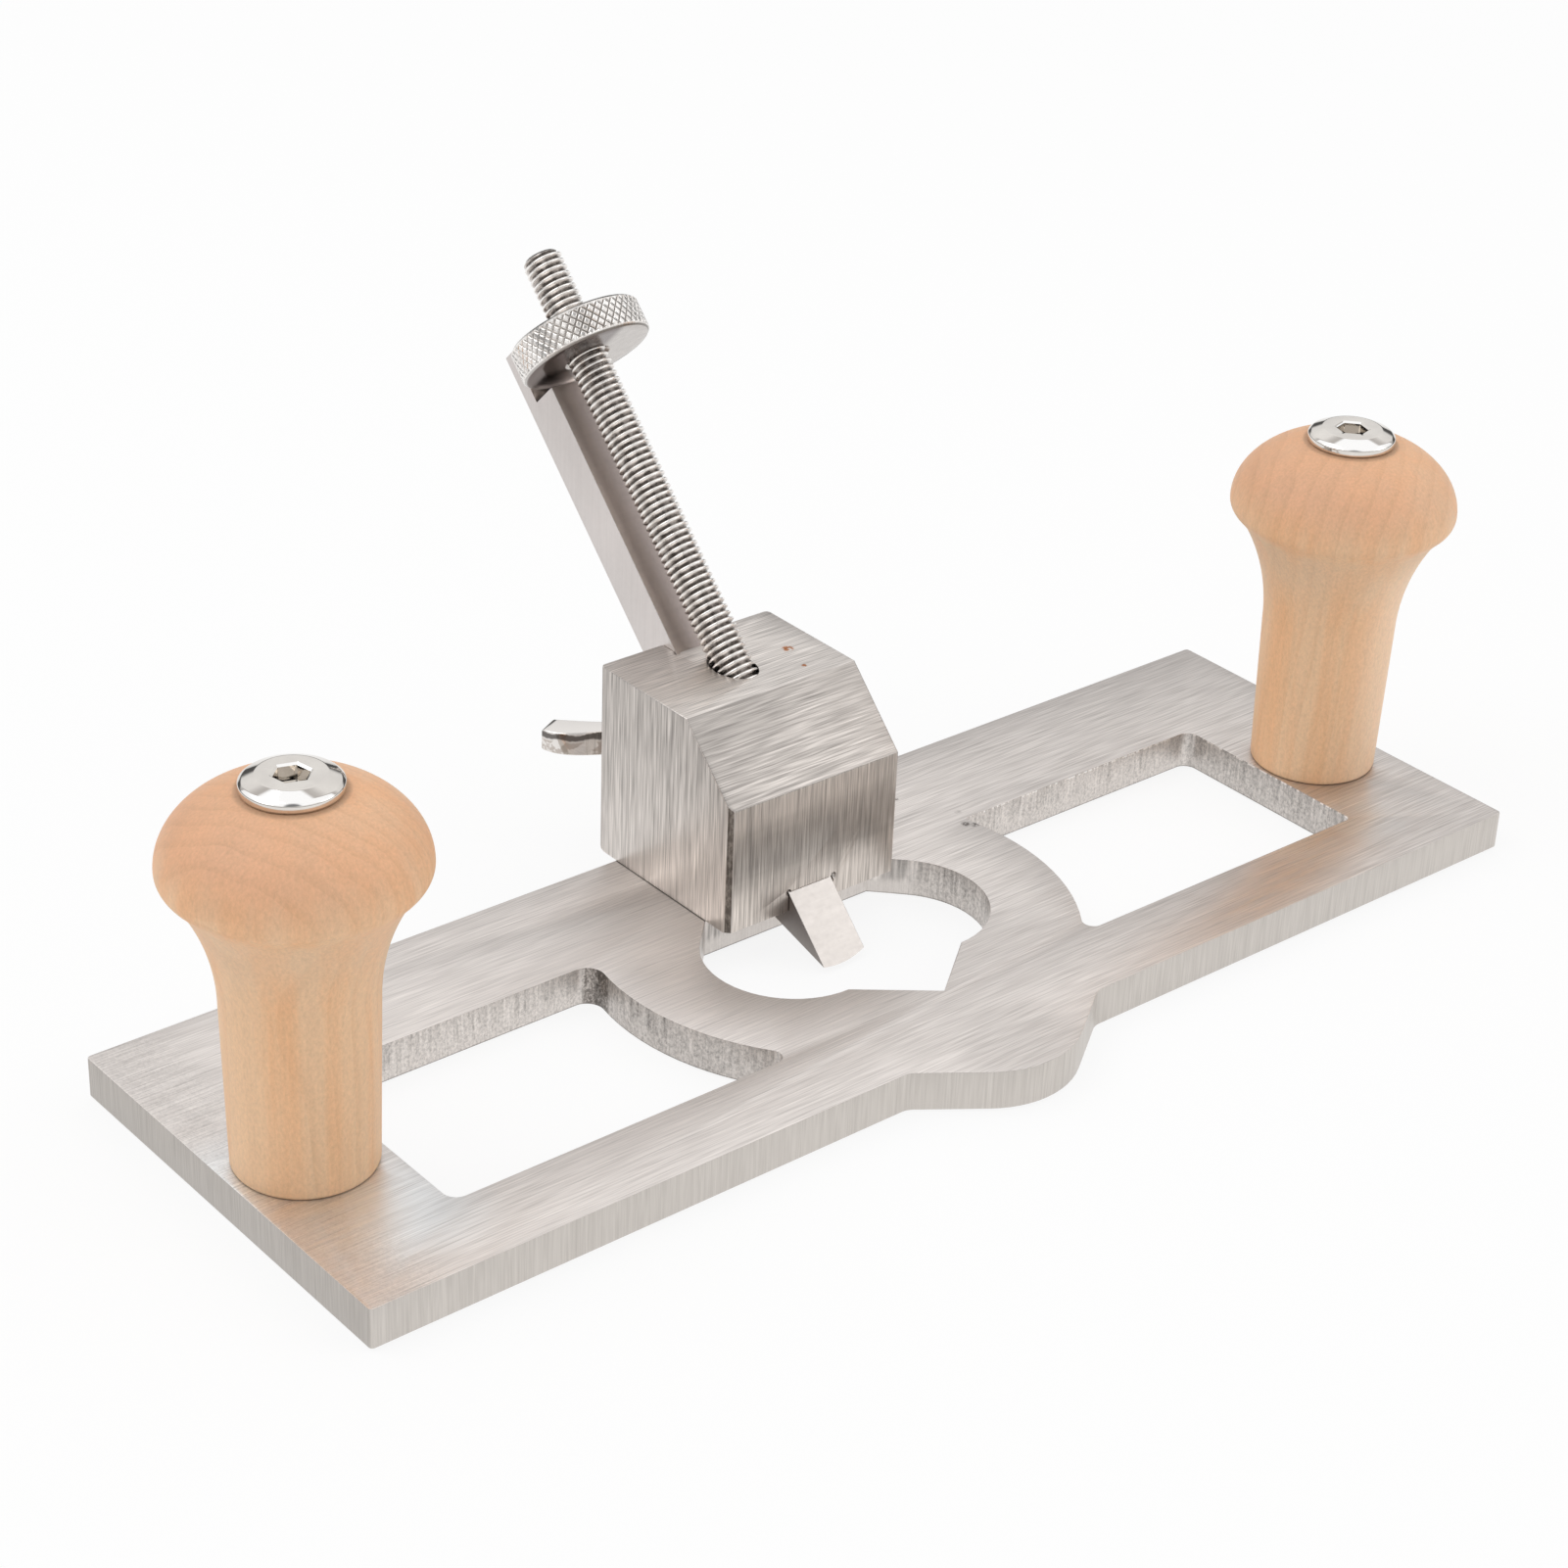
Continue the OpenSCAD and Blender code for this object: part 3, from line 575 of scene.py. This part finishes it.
def wingMaterial():
    # nickel with painted reflections of dark and brown things on its upright faces, just below their upper
    # edge
    look = Look("bright nickel of the wing", wingNickel["plain"])
    px, pz, nz = look.place("XZ") + look.normal("Z")
    aside = look.math("ABSOLUTE", px)
    half = look.timesPlus(aside, -wingNickel["taper"], wingNickel["rootHalf"])
    cloud = look.noise((420, 420, 420), 3.0, 0.6)
    level = look.math("DIVIDE", look.minus(pz, wing["axisZ"] * mm), half)
    level = look.timesPlus(look.minus(cloud, 0.5), wingNickel["wobble"], level)
    upright = look.times(look.fall(look.math("ABSOLUTE", nz), (0.2, 0.5)),
                         look.spread(aside, wingNickel["ears"]))
    brown = look.times(look.fall(level, wingNickel["brownLevel"]), look.spread(cloud, (0.46, 0.52)))
    low, high = wingNickel["darkLevels"]
    dark = look.times(look.spread(level, low), look.fall(level, high))
    look.paint(look.times(upright, brown), wingNickel["brown"])
    look.paint(look.times(upright, dark), wingNickel["dark"])
    return look.finish(look.spread(cloud, noiseReach, *wingNickel["rough"]))


def screwMaterial():
    look = Look("blackened screw steel")
    cloud = look.noise((900, 900, 900), 3.0, 0.6)
    look.colour = look.mix(look.spread(cloud, noiseReach), *blackSteel["tones"])
    return look.finish(look.spread(cloud, noiseReach, *blackSteel["rough"]), blackSteel["metal"])


# Pale turned wood

woodTones = {"base": (0.885, 0.59, 0.365), "dark": (0.72, 0.395, 0.20), "head": (0.69, 0.385, 0.23),
             "under": (0.78, 0.555, 0.375), "darkFootAndSeatShadow": (0.30, 0.19, 0.12), "orange": (0.85, 0.50, 0.275),
             "pale": (1.0, 0.755, 0.55), "sand": 0.42, "streak": 0.22, "hair": 0.12, "ring": 0.20,
             "ringBend": 3.0, "headRing": -0.05, "headStrength": 0.9, "headRight": 0.6,
             "underStrength": 0.4, "paleLeft": 0.05, "paleHead": 0.2, "darkFootAndSeatShadowStrength": 0.5,
             "shift": (0.37, 0.21, 0.11), "rough": (0.46, 0.60), "bump": 0.20, "bumpHeight": 0.00006,
             "sandShare": 0.6, "hairShare": 0.4}
woodShader = {"Specular IOR Level": 0.35, "Subsurface Weight": 0.04, "Subsurface Scale": 0.002}
# where the wood's look changes: heights, widths from the middle to the right, and radii, in metres
woodReach = {"head": (0.0455, 0.0540), "headRight": (-0.014, 0.010), "underLow": (0.0330, 0.0420),
             "underHigh": (0.0440, 0.0462), "paleHigh": (0.038, 0.046), "foot": (0.0058, 0.0063),
             "seat": (0.0066, 0.0072), "seatHigh": (0.045, 0.046)}
# short dashes: cells per metre along X, Y and Z
dashes = {"scale": (700, 700, 200), "reach": (0.08, 0.22), "share": 0.3, "strength": 0.12}
# each knob's own wood: the pith's place in millimetres, its lean, the rings' gap in millimetres,
# the shift of the grain, how much paler it is, and the turn of its bolt's socket in degrees
knobSides = {"left": {"pith": (70, 30), "lean": 0.10, "ringGap": 2.4, "shift": 3.1, "pale": 0.0,
                      "socketTurn": 42},
             "right": {"pith": (-46, 40), "lean": -0.16, "ringGap": 2.6, "shift": 7.7, "pale": 0.6,
                       "socketTurn": 13}}


def woodMaterial(side, axis):
    own = knobSides[side]
    look = Look(side + " knob wood", woodTones["base"])
    spot = look.vector("ADD", look.coords["Object"], (-axis[0], -axis[1], 0))[0]
    px, py, pz = look.parts(spot)
    shifted = look.vector("ADD", spot, [own["shift"] * part for part in woodTones["shift"]])[0]
    streak = look.noise((200, 200, 10), 3.0, 0.55, at=shifted)
    sand = look.noise((2600, 2600, 1500), 3.0, 0.7, at=shifted)
    hair = look.noise((2600, 2600, 70), at=shifted)
    # growth rings about a pith outside the knob
    bend = look.noise((50, 50, 16), at=shifted)
    pithX = look.timesPlus(pz, own["lean"], look.minus(px, own["pith"][0] * mm))
    away = look.length(pithX, look.minus(py, own["pith"][1] * mm))
    phase = look.timesPlus(bend, woodTones["ringBend"], look.times(away, 1 / (own["ringGap"] * mm)))
    ringLine = look.spread(look.math("FRACT", phase), (0.5, 1.0))

    for pattern, name in ((streak, "streak"), (sand, "sand"), (hair, "hair")):
        look.streak(pattern, woodTones[name])
    look.paint(look.spread(streak, (0.36, 0.64)), woodTones["orange"])
    look.paint(look.times(ringLine, woodTones["ring"]), woodTones["dark"])
    # the head is redder, and greyer just under its crease
    head = look.times(look.spread(pz, woodReach["head"]),
                      look.spread(px, woodReach["headRight"], 1.0, woodTones["headRight"]))
    look.paint(look.times(head, woodTones["headStrength"]), woodTones["head"])
    look.vary(look.times(look.minus(ringLine, 0.5), head), woodTones["headRing"])
    under = look.times(look.spread(pz, woodReach["underLow"]), look.fall(pz, woodReach["underHigh"]))
    look.paint(look.times(under, woodTones["underStrength"]), woodTones["under"])
    # one knob is a little paler all over, with painted light on its right-facing side
    rightward = look.minus(*look.normal("XY"))
    paler = look.times(look.spread(rightward, (0.2, 1.3), woodTones["paleLeft"], 1.0),
                       look.spread(pz, woodReach["paleHigh"], 1.0, woodTones["paleHead"]), own["pale"])
    look.paint(paler, woodTones["pale"])
    # a few short dashes, a thin dark line at the foot, and a painted contact shadow round the bolt's seat
    cells = look.put("Mapping", {"Vector": shifted, "Scale": dashes["scale"]}).outputs[0]
    dash = look.dots(cells, 1.0, dashes["reach"], dashes["share"])
    look.paint(look.times(dash, dashes["strength"]), woodTones["dark"])
    seat = look.times(look.fall(look.length(px, py), woodReach["seat"]),
                      look.spread(pz, woodReach["seatHigh"]))
    darkFootAndSeatShadow = look.most(look.fall(pz, woodReach["foot"]), seat)
    look.paint(look.times(darkFootAndSeatShadow, woodTones["darkFootAndSeatShadowStrength"]), woodTones["darkFootAndSeatShadow"])

    height = look.timesPlus(sand, woodTones["sandShare"], look.times(hair, woodTones["hairShare"]))
    look.bump(height, woodTones["bump"], woodTones["bumpHeight"])
    for name, value in woodShader.items():
        look.shader.inputs[name].default_value = value
    return look.finish(look.spread(sand, (0.3, 0.8), *woodTones["rough"]), 0.0)


print("stage 2: materials")
plateLook = plateMaterial()
blockLook = blockMaterial()
barLook = barMaterial()
rodLook = rodMaterial()
nutLook = nutMaterial()
nickelLook = nickelMaterial()
screwLook = screwMaterial()


# Plate, block, bar and block screws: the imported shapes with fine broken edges

edges = {"plate": 0.16, "block": 0.18, "bar": 0.07, "screws": 0.08, "shortest": 0.05,
         "bladeHeight": 3.0, "bladeAngle": 100}


def shortEdge(edge):
    return edge.calc_length() < edges["shortest"] * mm


def cuttingEdge(edge):
    low = min(v.co.z for v in edge.verts) < edges["bladeHeight"] * mm
    return low and edge.calc_face_angle(0) > math.radians(edges["bladeAngle"])


softenedCopy("base_plate", "frame", plateLook, edges["plate"], keep=shortEdge)
softenedCopy("cutter_block", "frame", blockLook, edges["block"], keep=shortEdge)
softenedCopy("cutter_bar", "cutter", barLook, edges["bar"], keep=cuttingEdge)
softenedCopy("block_screws", "frame", screwLook, edges["screws"])
print("stage 3: plate, block, bar and screws")


# Threaded rod

rod = {"diameter": 5.88, "pitch": 1.0, "depth": 0.56, "rootFlat": 0.10, "flank": 0.72, "bevel": 0.7,
       "start": 40.0, "endRing": 0.25, "centreHole": ((0.75, 0.02), (0.45, 0.35)), "columns": 72, "rows": 12}


def threadShape(turn):
    # depth below the crest, 0 to 1, over one pitch
    t = abs((turn % 1.0) - 0.5) * 2          # 1 in the middle of the crest, 0 in the root
    t = min(1.0, max(0.0, (t - rod["rootFlat"]) / rod["flank"]))
    return 1 - t * t * (3 - 2 * t) * 0.5 - t * 0.5


def buildRod():
    inverse = bedMatrix.inverted()
    end = max((inverse @ v.co).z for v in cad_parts["depth_rod"].data.vertices) / mm
    start, columns = rod["start"], rod["columns"]
    inner = rod["diameter"] / 2 - rod["bevel"]
    count = int(round((end - start) / (rod["pitch"] / rod["rows"])))
    rings = []
    for i in range(count + 1):
        z = start + (end - start) * i / count
        ring = []
        for k in range(columns):
            angle = 2 * math.pi * k / columns
            deep = threadShape(z / rod["pitch"] - angle / (2 * math.pi))
            radius = min(rod["diameter"] / 2 - deep * rod["depth"], inner + (end - z))
            ring.append(polar(radius, angle, z))
        rings.append(ring)
    rings.append(circleRing(inner - rod["endRing"], end, columns))
    rings += [circleRing(radius, end - deep, columns) for radius, deep in rod["centreHole"]]
    points, faces = loft(rings, onRod(0))
    newPiece("depth_rod_thread", points, faces, "frame", rodLook, 60, "depth_rod")


# Knurled nut

nut = {"radius": 9.8, "thick": 5.0, "knurls": 48, "slant": 40, "groove": 0.20, "depth": 0.24, "bevel": 0.4,
       "edge": 0.12, "edgeDrop": 0.04, "knurlFrom": 0.42, "fade": 0.25, "fadeStart": 0.15, "padDrop": 0.02,
       "bore": 3.02, "lead": 0.45, "boreRing": 1.2, "flatRings": (5.5, 8.0), "low": 92.5, "columns": 864,
       "rows": 58}


def groove(position, spacing):
    # 0 on a pad, 1 in the bottom of a groove
    away = abs(position - round(position)) * spacing
    return max(0.0, 1 - away / nut["groove"])


def buildNut():
    columns, radius, slant = nut["columns"], nut["radius"], math.radians(nut["slant"])
    slope = math.tan(slant) * nut["knurls"] / (2 * math.pi * radius)
    spacing = 2 * math.pi * radius / nut["knurls"] * math.cos(slant)
    # from the bore over the flat to the rim, and back again on top
    face = [(nut["bore"], nut["boreRing"]), (nut["bore"], nut["lead"]), (nut["bore"] + nut["lead"], 0.0)]
    face += [(r, 0.0) for r in nut["flatRings"]]
    face += [(radius - nut["bevel"] - nut["edge"], 0.0), (radius - nut["bevel"], nut["edgeDrop"])]
    rings = [circleRing(r, z, columns) for r, z in face]
    low, high = nut["knurlFrom"], nut["thick"] - nut["knurlFrom"]
    for i in range(nut["rows"] + 1):
        z = low + (high - low) * i / nut["rows"]
        fade = min(1.0, min(z - low, high - z) / nut["fade"] + nut["fadeStart"])
        ring = []
        for k in range(columns):
            u = nut["knurls"] * k / columns
            deep = max(groove(u + z * slope, spacing), groove(u - z * slope, spacing))
            r = radius - nut["padDrop"] - nut["depth"] * deep * fade
            ring.append(polar(r, 2 * math.pi * k / columns, z))
        rings.append(ring)
    rings += [circleRing(r, nut["thick"] - z, columns) for r, z in reversed(face)]
    points, faces = loft(rings, onRod(nut["low"]), tube=True)
    newPiece("depth_nut_knurled", points, faces, "nut", nutLook, 30, "depth_nut")


buildRod()
buildNut()
print("stage 4: rod and nut")


# Knobs and their bolts

knob = {"shank": 9.35, "neck": 9.85, "neckZ": 23, "crease": 14.3, "creaseZ": 38.8, "head": 16.54,
        "headZ": 42.1, "edge": 2.3, "edgeFrom": -52, "edgeTo": -6, "rise": 10.8, "seat": 6.45, "hole": 3.2,
        "lead": 0.3, "foot": 0.4, "footEdge": 0.1, "shankRows": 12, "flareRows": 30, "edgeRows": 10,
        "domeRows": 44, "columns": 160}
# the socket lists how much wider than the key and how deep below the top each ring is,
# the drill point each ring's radius and how much deeper than the socket it is
bolt = {"shank": 3.0, "head": 6.35, "foot": 0.25, "rim": 1.1, "midRadius": 5.9, "midRise": 0.4,
        "topRadius": 4.3, "topRise": 0.7, "topRing": 3.2, "round": 0.14, "neck": 0.4, "key": 4.0,
        "socket": ((0.62, 0.0), (0.50, 0.03), (0.0, 0.24)), "keyDepth": 2.2,
        "drillPoint": ((1.2, 0.15), (0.3, 0.55)), "length": 56, "endBevel": 0.5, "columns": 96}


def knobProfile():
    shank, foot, neck, neckZ = knob["shank"], knob["foot"], knob["neck"], knob["neckZ"]
    flare, rise = knob["crease"] - neck, knob["creaseZ"] - neckZ
    flareRadius = (flare * flare + rise * rise) / (2 * flare)
    flareEnd = math.degrees(math.asin(rise / flareRadius))
    domeEnd = math.degrees(math.acos(knob["seat"] / knob["head"]))
    line = [(knob["hole"], 0.0), (shank - foot, 0.0), (shank - knob["footEdge"], knob["footEdge"]),
            (shank, foot)]
    for i in range(1, knob["shankRows"]):
        t = i / knob["shankRows"]
        line.append((shank + (neck - shank) * t, foot + (neckZ - foot) * t))
    line += arcPoints(neck + flareRadius, neckZ, flareRadius, flareRadius, 180, 180 - flareEnd,
                      knob["flareRows"])
    line += arcPoints(knob["head"] - knob["edge"], knob["headZ"], knob["edge"], knob["edge"],
                      knob["edgeFrom"], knob["edgeTo"], knob["edgeRows"])
    line += arcPoints(0, knob["headZ"], knob["head"], knob["rise"], 0, domeEnd, knob["domeRows"])
    top = line[-1][1]
    line += [(knob["hole"] + knob["lead"], top), (knob["hole"], top - knob["lead"])]
    return line, top


def buildKnob(side):
    low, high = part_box(side + "_knob")
    centre = ((low.x + high.x) / 2, (low.y + high.y) / 2)
    profile, top = knobProfile()
    rings = [circleRing(r, z, knob["columns"]) for r, z in profile]
    points, faces = loft(rings, Matrix.Translation((*centre, low.z)), tube=True)
    look = woodMaterial(side, centre)
    newPiece(side + "_knob_turned", points, faces, "frame", look, 24, side + "_knob")
    return centre, low.z + top * mm


def buildBolt(side, centre, seatZ):
    shank, columns = bolt["shank"], bolt["columns"]
    middle, top = bolt["rim"] + bolt["midRise"], bolt["rim"] + bolt["midRise"] + bolt["topRise"]
    outer = roundCorners([(shank, -bolt["neck"]), (shank, 0.0), (bolt["head"] - bolt["foot"], 0.0),
                          (bolt["head"], bolt["foot"]), (bolt["head"], bolt["rim"]),
                          (bolt["midRadius"], middle), (bolt["topRadius"], top), (bolt["topRing"], top)],
                         bolt["round"])
    outer = [(shank - bolt["endBevel"], -bolt["length"]), (shank, bolt["endBevel"] - bolt["length"])] + outer
    rings = [circleRing(r, z, columns) for r, z in outer]
    turn = math.radians(knobSides[side]["socketTurn"])
    for wider, deep in bolt["socket"] + ((0.0, bolt["keyDepth"]),):
        rings.append(hexRing(bolt["key"] + wider, top - deep, columns, turn))
    for radius, deeper in bolt["drillPoint"]:
        rings.append(circleRing(radius, top - bolt["keyDepth"] - deeper, columns))
    points, faces = loft(rings, Matrix.Translation((*centre, seatZ)))
    newPiece(side + "_knob_bolt_bright", points, faces, "frame", nickelLook, 24,
             side + "_knob_bolt")


for side in knobSides:
    centre, seatZ = buildKnob(side)
    buildBolt(side, centre, seatZ)
print("stage 5: knobs and bolts")


# Wing screw

wing = {"axisZ": 18.45, "hubFront": 16.1, "hubLength": 6.5, "hub": 5.3, "hubBevel": 1.1, "hubRound": 0.35,
        "shank": 3.0, "point": 5.6, "pointLength": 2.0, "pointRadius": 0.8, "pointFlat": 0.6,
        "axisHole": 0.02, "reach": 16.0, "sweep": 12.9, "root": 4.0, "rootThick": 4.4, "tipThick": 3.3,
        "round": 0.22, "tipShrink": 0.9, "tipStep": 0.22, "sections": 22, "columns": 64, "cornerStep": 15}
# the ears' outlines in plan, as the four points of a curve in millimetres
earFront = ((wing["root"], 1.2), (wing["root"] + 4, 5.6), (wing["reach"] - 1.5, 5.6),
            (wing["reach"], wing["sweep"] - 2.2))
earRear = ((wing["root"], 4.6), (7, 6.2), (10, 9.5), (wing["reach"] - 3.3, wing["sweep"] - 0.4))


def bezier(curve, t):
    u = 1 - t
    return tuple(u ** 3 * a + 3 * u * u * t * b + 3 * u * t * t * c + t ** 3 * d
                 for a, b, c, d in zip(*curve))


def roundedSection(front, rear, half, radius):
    # a rounded rectangle from front to rear in plan, standing half above and below the axis
    a, b = Vector((*front, 0)), Vector((*rear, 0))
    length, along = (b - a).length, (b - a).normalized()
    radius = min(radius, length * 0.45, half * 0.9)
    ring = []
    for x, z, start in ((length - radius, half - radius, 0), (radius, half - radius, 90),
                        (radius, radius - half, 180), (length - radius, radius - half, 270)):
        for degrees in range(start, start + 91, wing["cornerStep"]):
            s = x + radius * math.cos(math.radians(degrees))
            ring.append((a.x + along.x * s, a.y + along.y * s, z + radius * math.sin(math.radians(degrees))))
    return ring


def earRings(side):
    rings = []
    for i in range(wing["sections"] + 1):
        t = i / wing["sections"]
        half = (wing["rootThick"] + (wing["tipThick"] - wing["rootThick"]) * t) / 2
        ring = roundedSection(bezier(earFront, t), bezier(earRear, t), half, wing["round"])
        ring = [(side * x, y, z) for x, y, z in ring]
        rings.append(ring if side > 0 else ring[::-1])
    # the tip closes over a small step
    tip = [Vector(p) for p in rings[-1]]
    middle = sum(tip, Vector()) / len(tip)
    step = Vector((side * wing["tipStep"], wing["tipStep"], 0))
    return rings + [[tuple(middle + (p - middle) * wing["tipShrink"] + step) for p in tip]]


def buildWing():
    place = Matrix.Translation((0, wing["hubFront"] * mm, wing["axisZ"] * mm))
    # hub and shank, turned about Y
    hub, rear, point = wing["hub"], wing["hubLength"], wing["point"] - wing["hubFront"]
    profile = roundCorners([(wing["axisHole"], rear), (hub - wing["hubBevel"], rear),
                            (hub, rear - wing["hubBevel"]), (hub, 0.0), (wing["shank"], 0.0),
                            (wing["shank"], point + wing["pointLength"]),
                            (wing["pointRadius"], point + wing["pointFlat"]),
                            (wing["axisHole"], point + wing["pointFlat"])], wing["hubRound"])
    turnToY = Matrix.Rotation(math.radians(-90), 4, "X")
    points, faces = loft([circleRing(r, z, wing["columns"]) for r, z in reversed(profile)], place @ turnToY)
    for side in (-1, 1):
        start = len(points)
        earPoints, earFaces = loft(earRings(side), place)
        points += earPoints
        faces += [tuple(start + i for i in f) for f in earFaces]
    newPiece("wing_screw_bright", points, faces, "wing", wingMaterial(), 35, "wing_screw")


buildWing()
print("stage 6: wing screw")


# Floor, camera and light

studio = {"floorHalf": 6.0, "floorZ": -0.0004, "floorTone": (0.86, 0.86, 0.86), "floorShade": 0.14,
          "skyTop": 1.0, "skyHorizon": 0.80, "skyReach": (0.0, 0.75), "bandTone": 0.12,
          "bandAbove": (0.20, 0.32), "bandBelow": (0.02, 0.07), "spotTone": 0.2,
          "spotAim": (-0.305, -0.488, 0.82), "spotReach": (0.955, 0.985)}
lamps = {"key softbox": {"place": (-0.5, 0.25, 0.9), "size": 0.7, "power": 2.2},
         "fill softbox": {"place": (0.7, -0.7, 0.6), "size": 0.6, "power": 1.2}}


def buildFloor():
    half, z = studio["floorHalf"], studio["floorZ"]
    mesh = bpy.data.meshes.new("studio_floor")
    mesh.from_pydata([(-half, -half, z), (half, -half, z), (half, half, z), (-half, half, z)],
                     [], [(0, 1, 2, 3)])
    floor = bpy.data.objects.new("studio_floor", mesh)
    bpy.context.scene.collection.objects.link(floor)
    material = bpy.data.materials.new("pale floor")
    material.use_nodes = True
    tree = material.node_tree
    tree.nodes.clear()
    # mostly plain white where it is seen, with a share left for the shadow
    nodes = Nodes(tree)
    rays = nodes.put("LightPath").outputs
    seen = nodes.most(rays["Is Camera Ray"], rays["Is Glossy Ray"], rays["Is Transmission Ray"])
    plain = nodes.put("BsdfDiffuse", {"Color": (*studio["floorTone"], 1)}).outputs[0]
    white = nodes.put("Emission", {"Strength": 1.0}).outputs[0]
    mixed = nodes.put("MixShader", {0: nodes.times(seen, 1 - studio["floorShade"]), 1: plain, 2: white})
    nodes.put("OutputMaterial", {"Surface": mixed.outputs[0]})
    mesh.materials.append(material)


def buildWorld():
    # a bright sky with a dark band low on the horizon and a dark patch above the camera's side
    world = bpy.data.worlds.new("soft studio")
    bpy.context.scene.world = world
    world.use_nodes = True
    background = world.node_tree.nodes["Background"]
    nodes = Nodes(world.node_tree)
    towards = nodes.put("TexCoord").outputs["Generated"]
    height = nodes.parts(towards, "Z")[0]
    sky = nodes.spread(height, studio["skyReach"], studio["skyHorizon"], studio["skyTop"])
    above = nodes.spread(height, studio["bandAbove"], studio["bandTone"], 1.0)
    below = nodes.fall(height, studio["bandBelow"])
    aim = nodes.vector("DOT_PRODUCT", towards, Vector(studio["spotAim"]).normalized())["Value"]
    patch = nodes.spread(aim, studio["spotReach"], 1.0, studio["spotTone"])
    strength = nodes.times(sky, nodes.most(above, below), patch)
    world.node_tree.links.new(strength, background.inputs["Strength"])
    background.inputs["Color"].default_value = (1, 1, 1, 1)


def addLamp(name, place, size, power):
    # a square softbox that looks at the middle
    light = bpy.data.lights.new(name, "AREA")
    light.shape = "RECTANGLE"
    light.size = light.size_y = size
    light.energy = power
    lamp = bpy.data.objects.new(name, light)
    bpy.context.scene.collection.objects.link(lamp)
    lamp.location = place
    lamp.rotation_mode = "QUATERNION"
    lamp.rotation_quaternion = (-Vector(place)).to_track_quat("-Z", "Y")


# found by fitting the photo's corners and edges
camera = {"place": (-0.27534628, -0.32994425, 0.25722592), "lens": 79.9513, "sensor": 36.0,
          "clip": (0.01, 50), "right": (0.7723328335, -0.6341921077, 0.0360882913),
          "up": (0.2840841582, 0.3956614932, 0.8733545522),
          "back": (-0.5681533115, -0.6642682841, 0.4857462932)}


def buildCamera():
    data = bpy.data.cameras.new("photo view")
    data.sensor_width = camera["sensor"]
    data.lens = camera["lens"]
    data.clip_start, data.clip_end = camera["clip"]
    eye = bpy.data.objects.new("photo_view", data)
    bpy.context.scene.collection.objects.link(eye)
    columns = Matrix((camera["right"], camera["up"], camera["back"])).transposed().to_4x4()
    eye.matrix_world = Matrix.Translation(camera["place"]) @ columns
    bpy.context.scene.camera = eye


buildFloor()
buildWorld()
for name, lamp in lamps.items():
    addLamp(name, lamp["place"], lamp["size"], lamp["power"])
buildCamera()
bpy.context.scene.view_settings.view_transform = "Standard"
print("stage 7: studio")
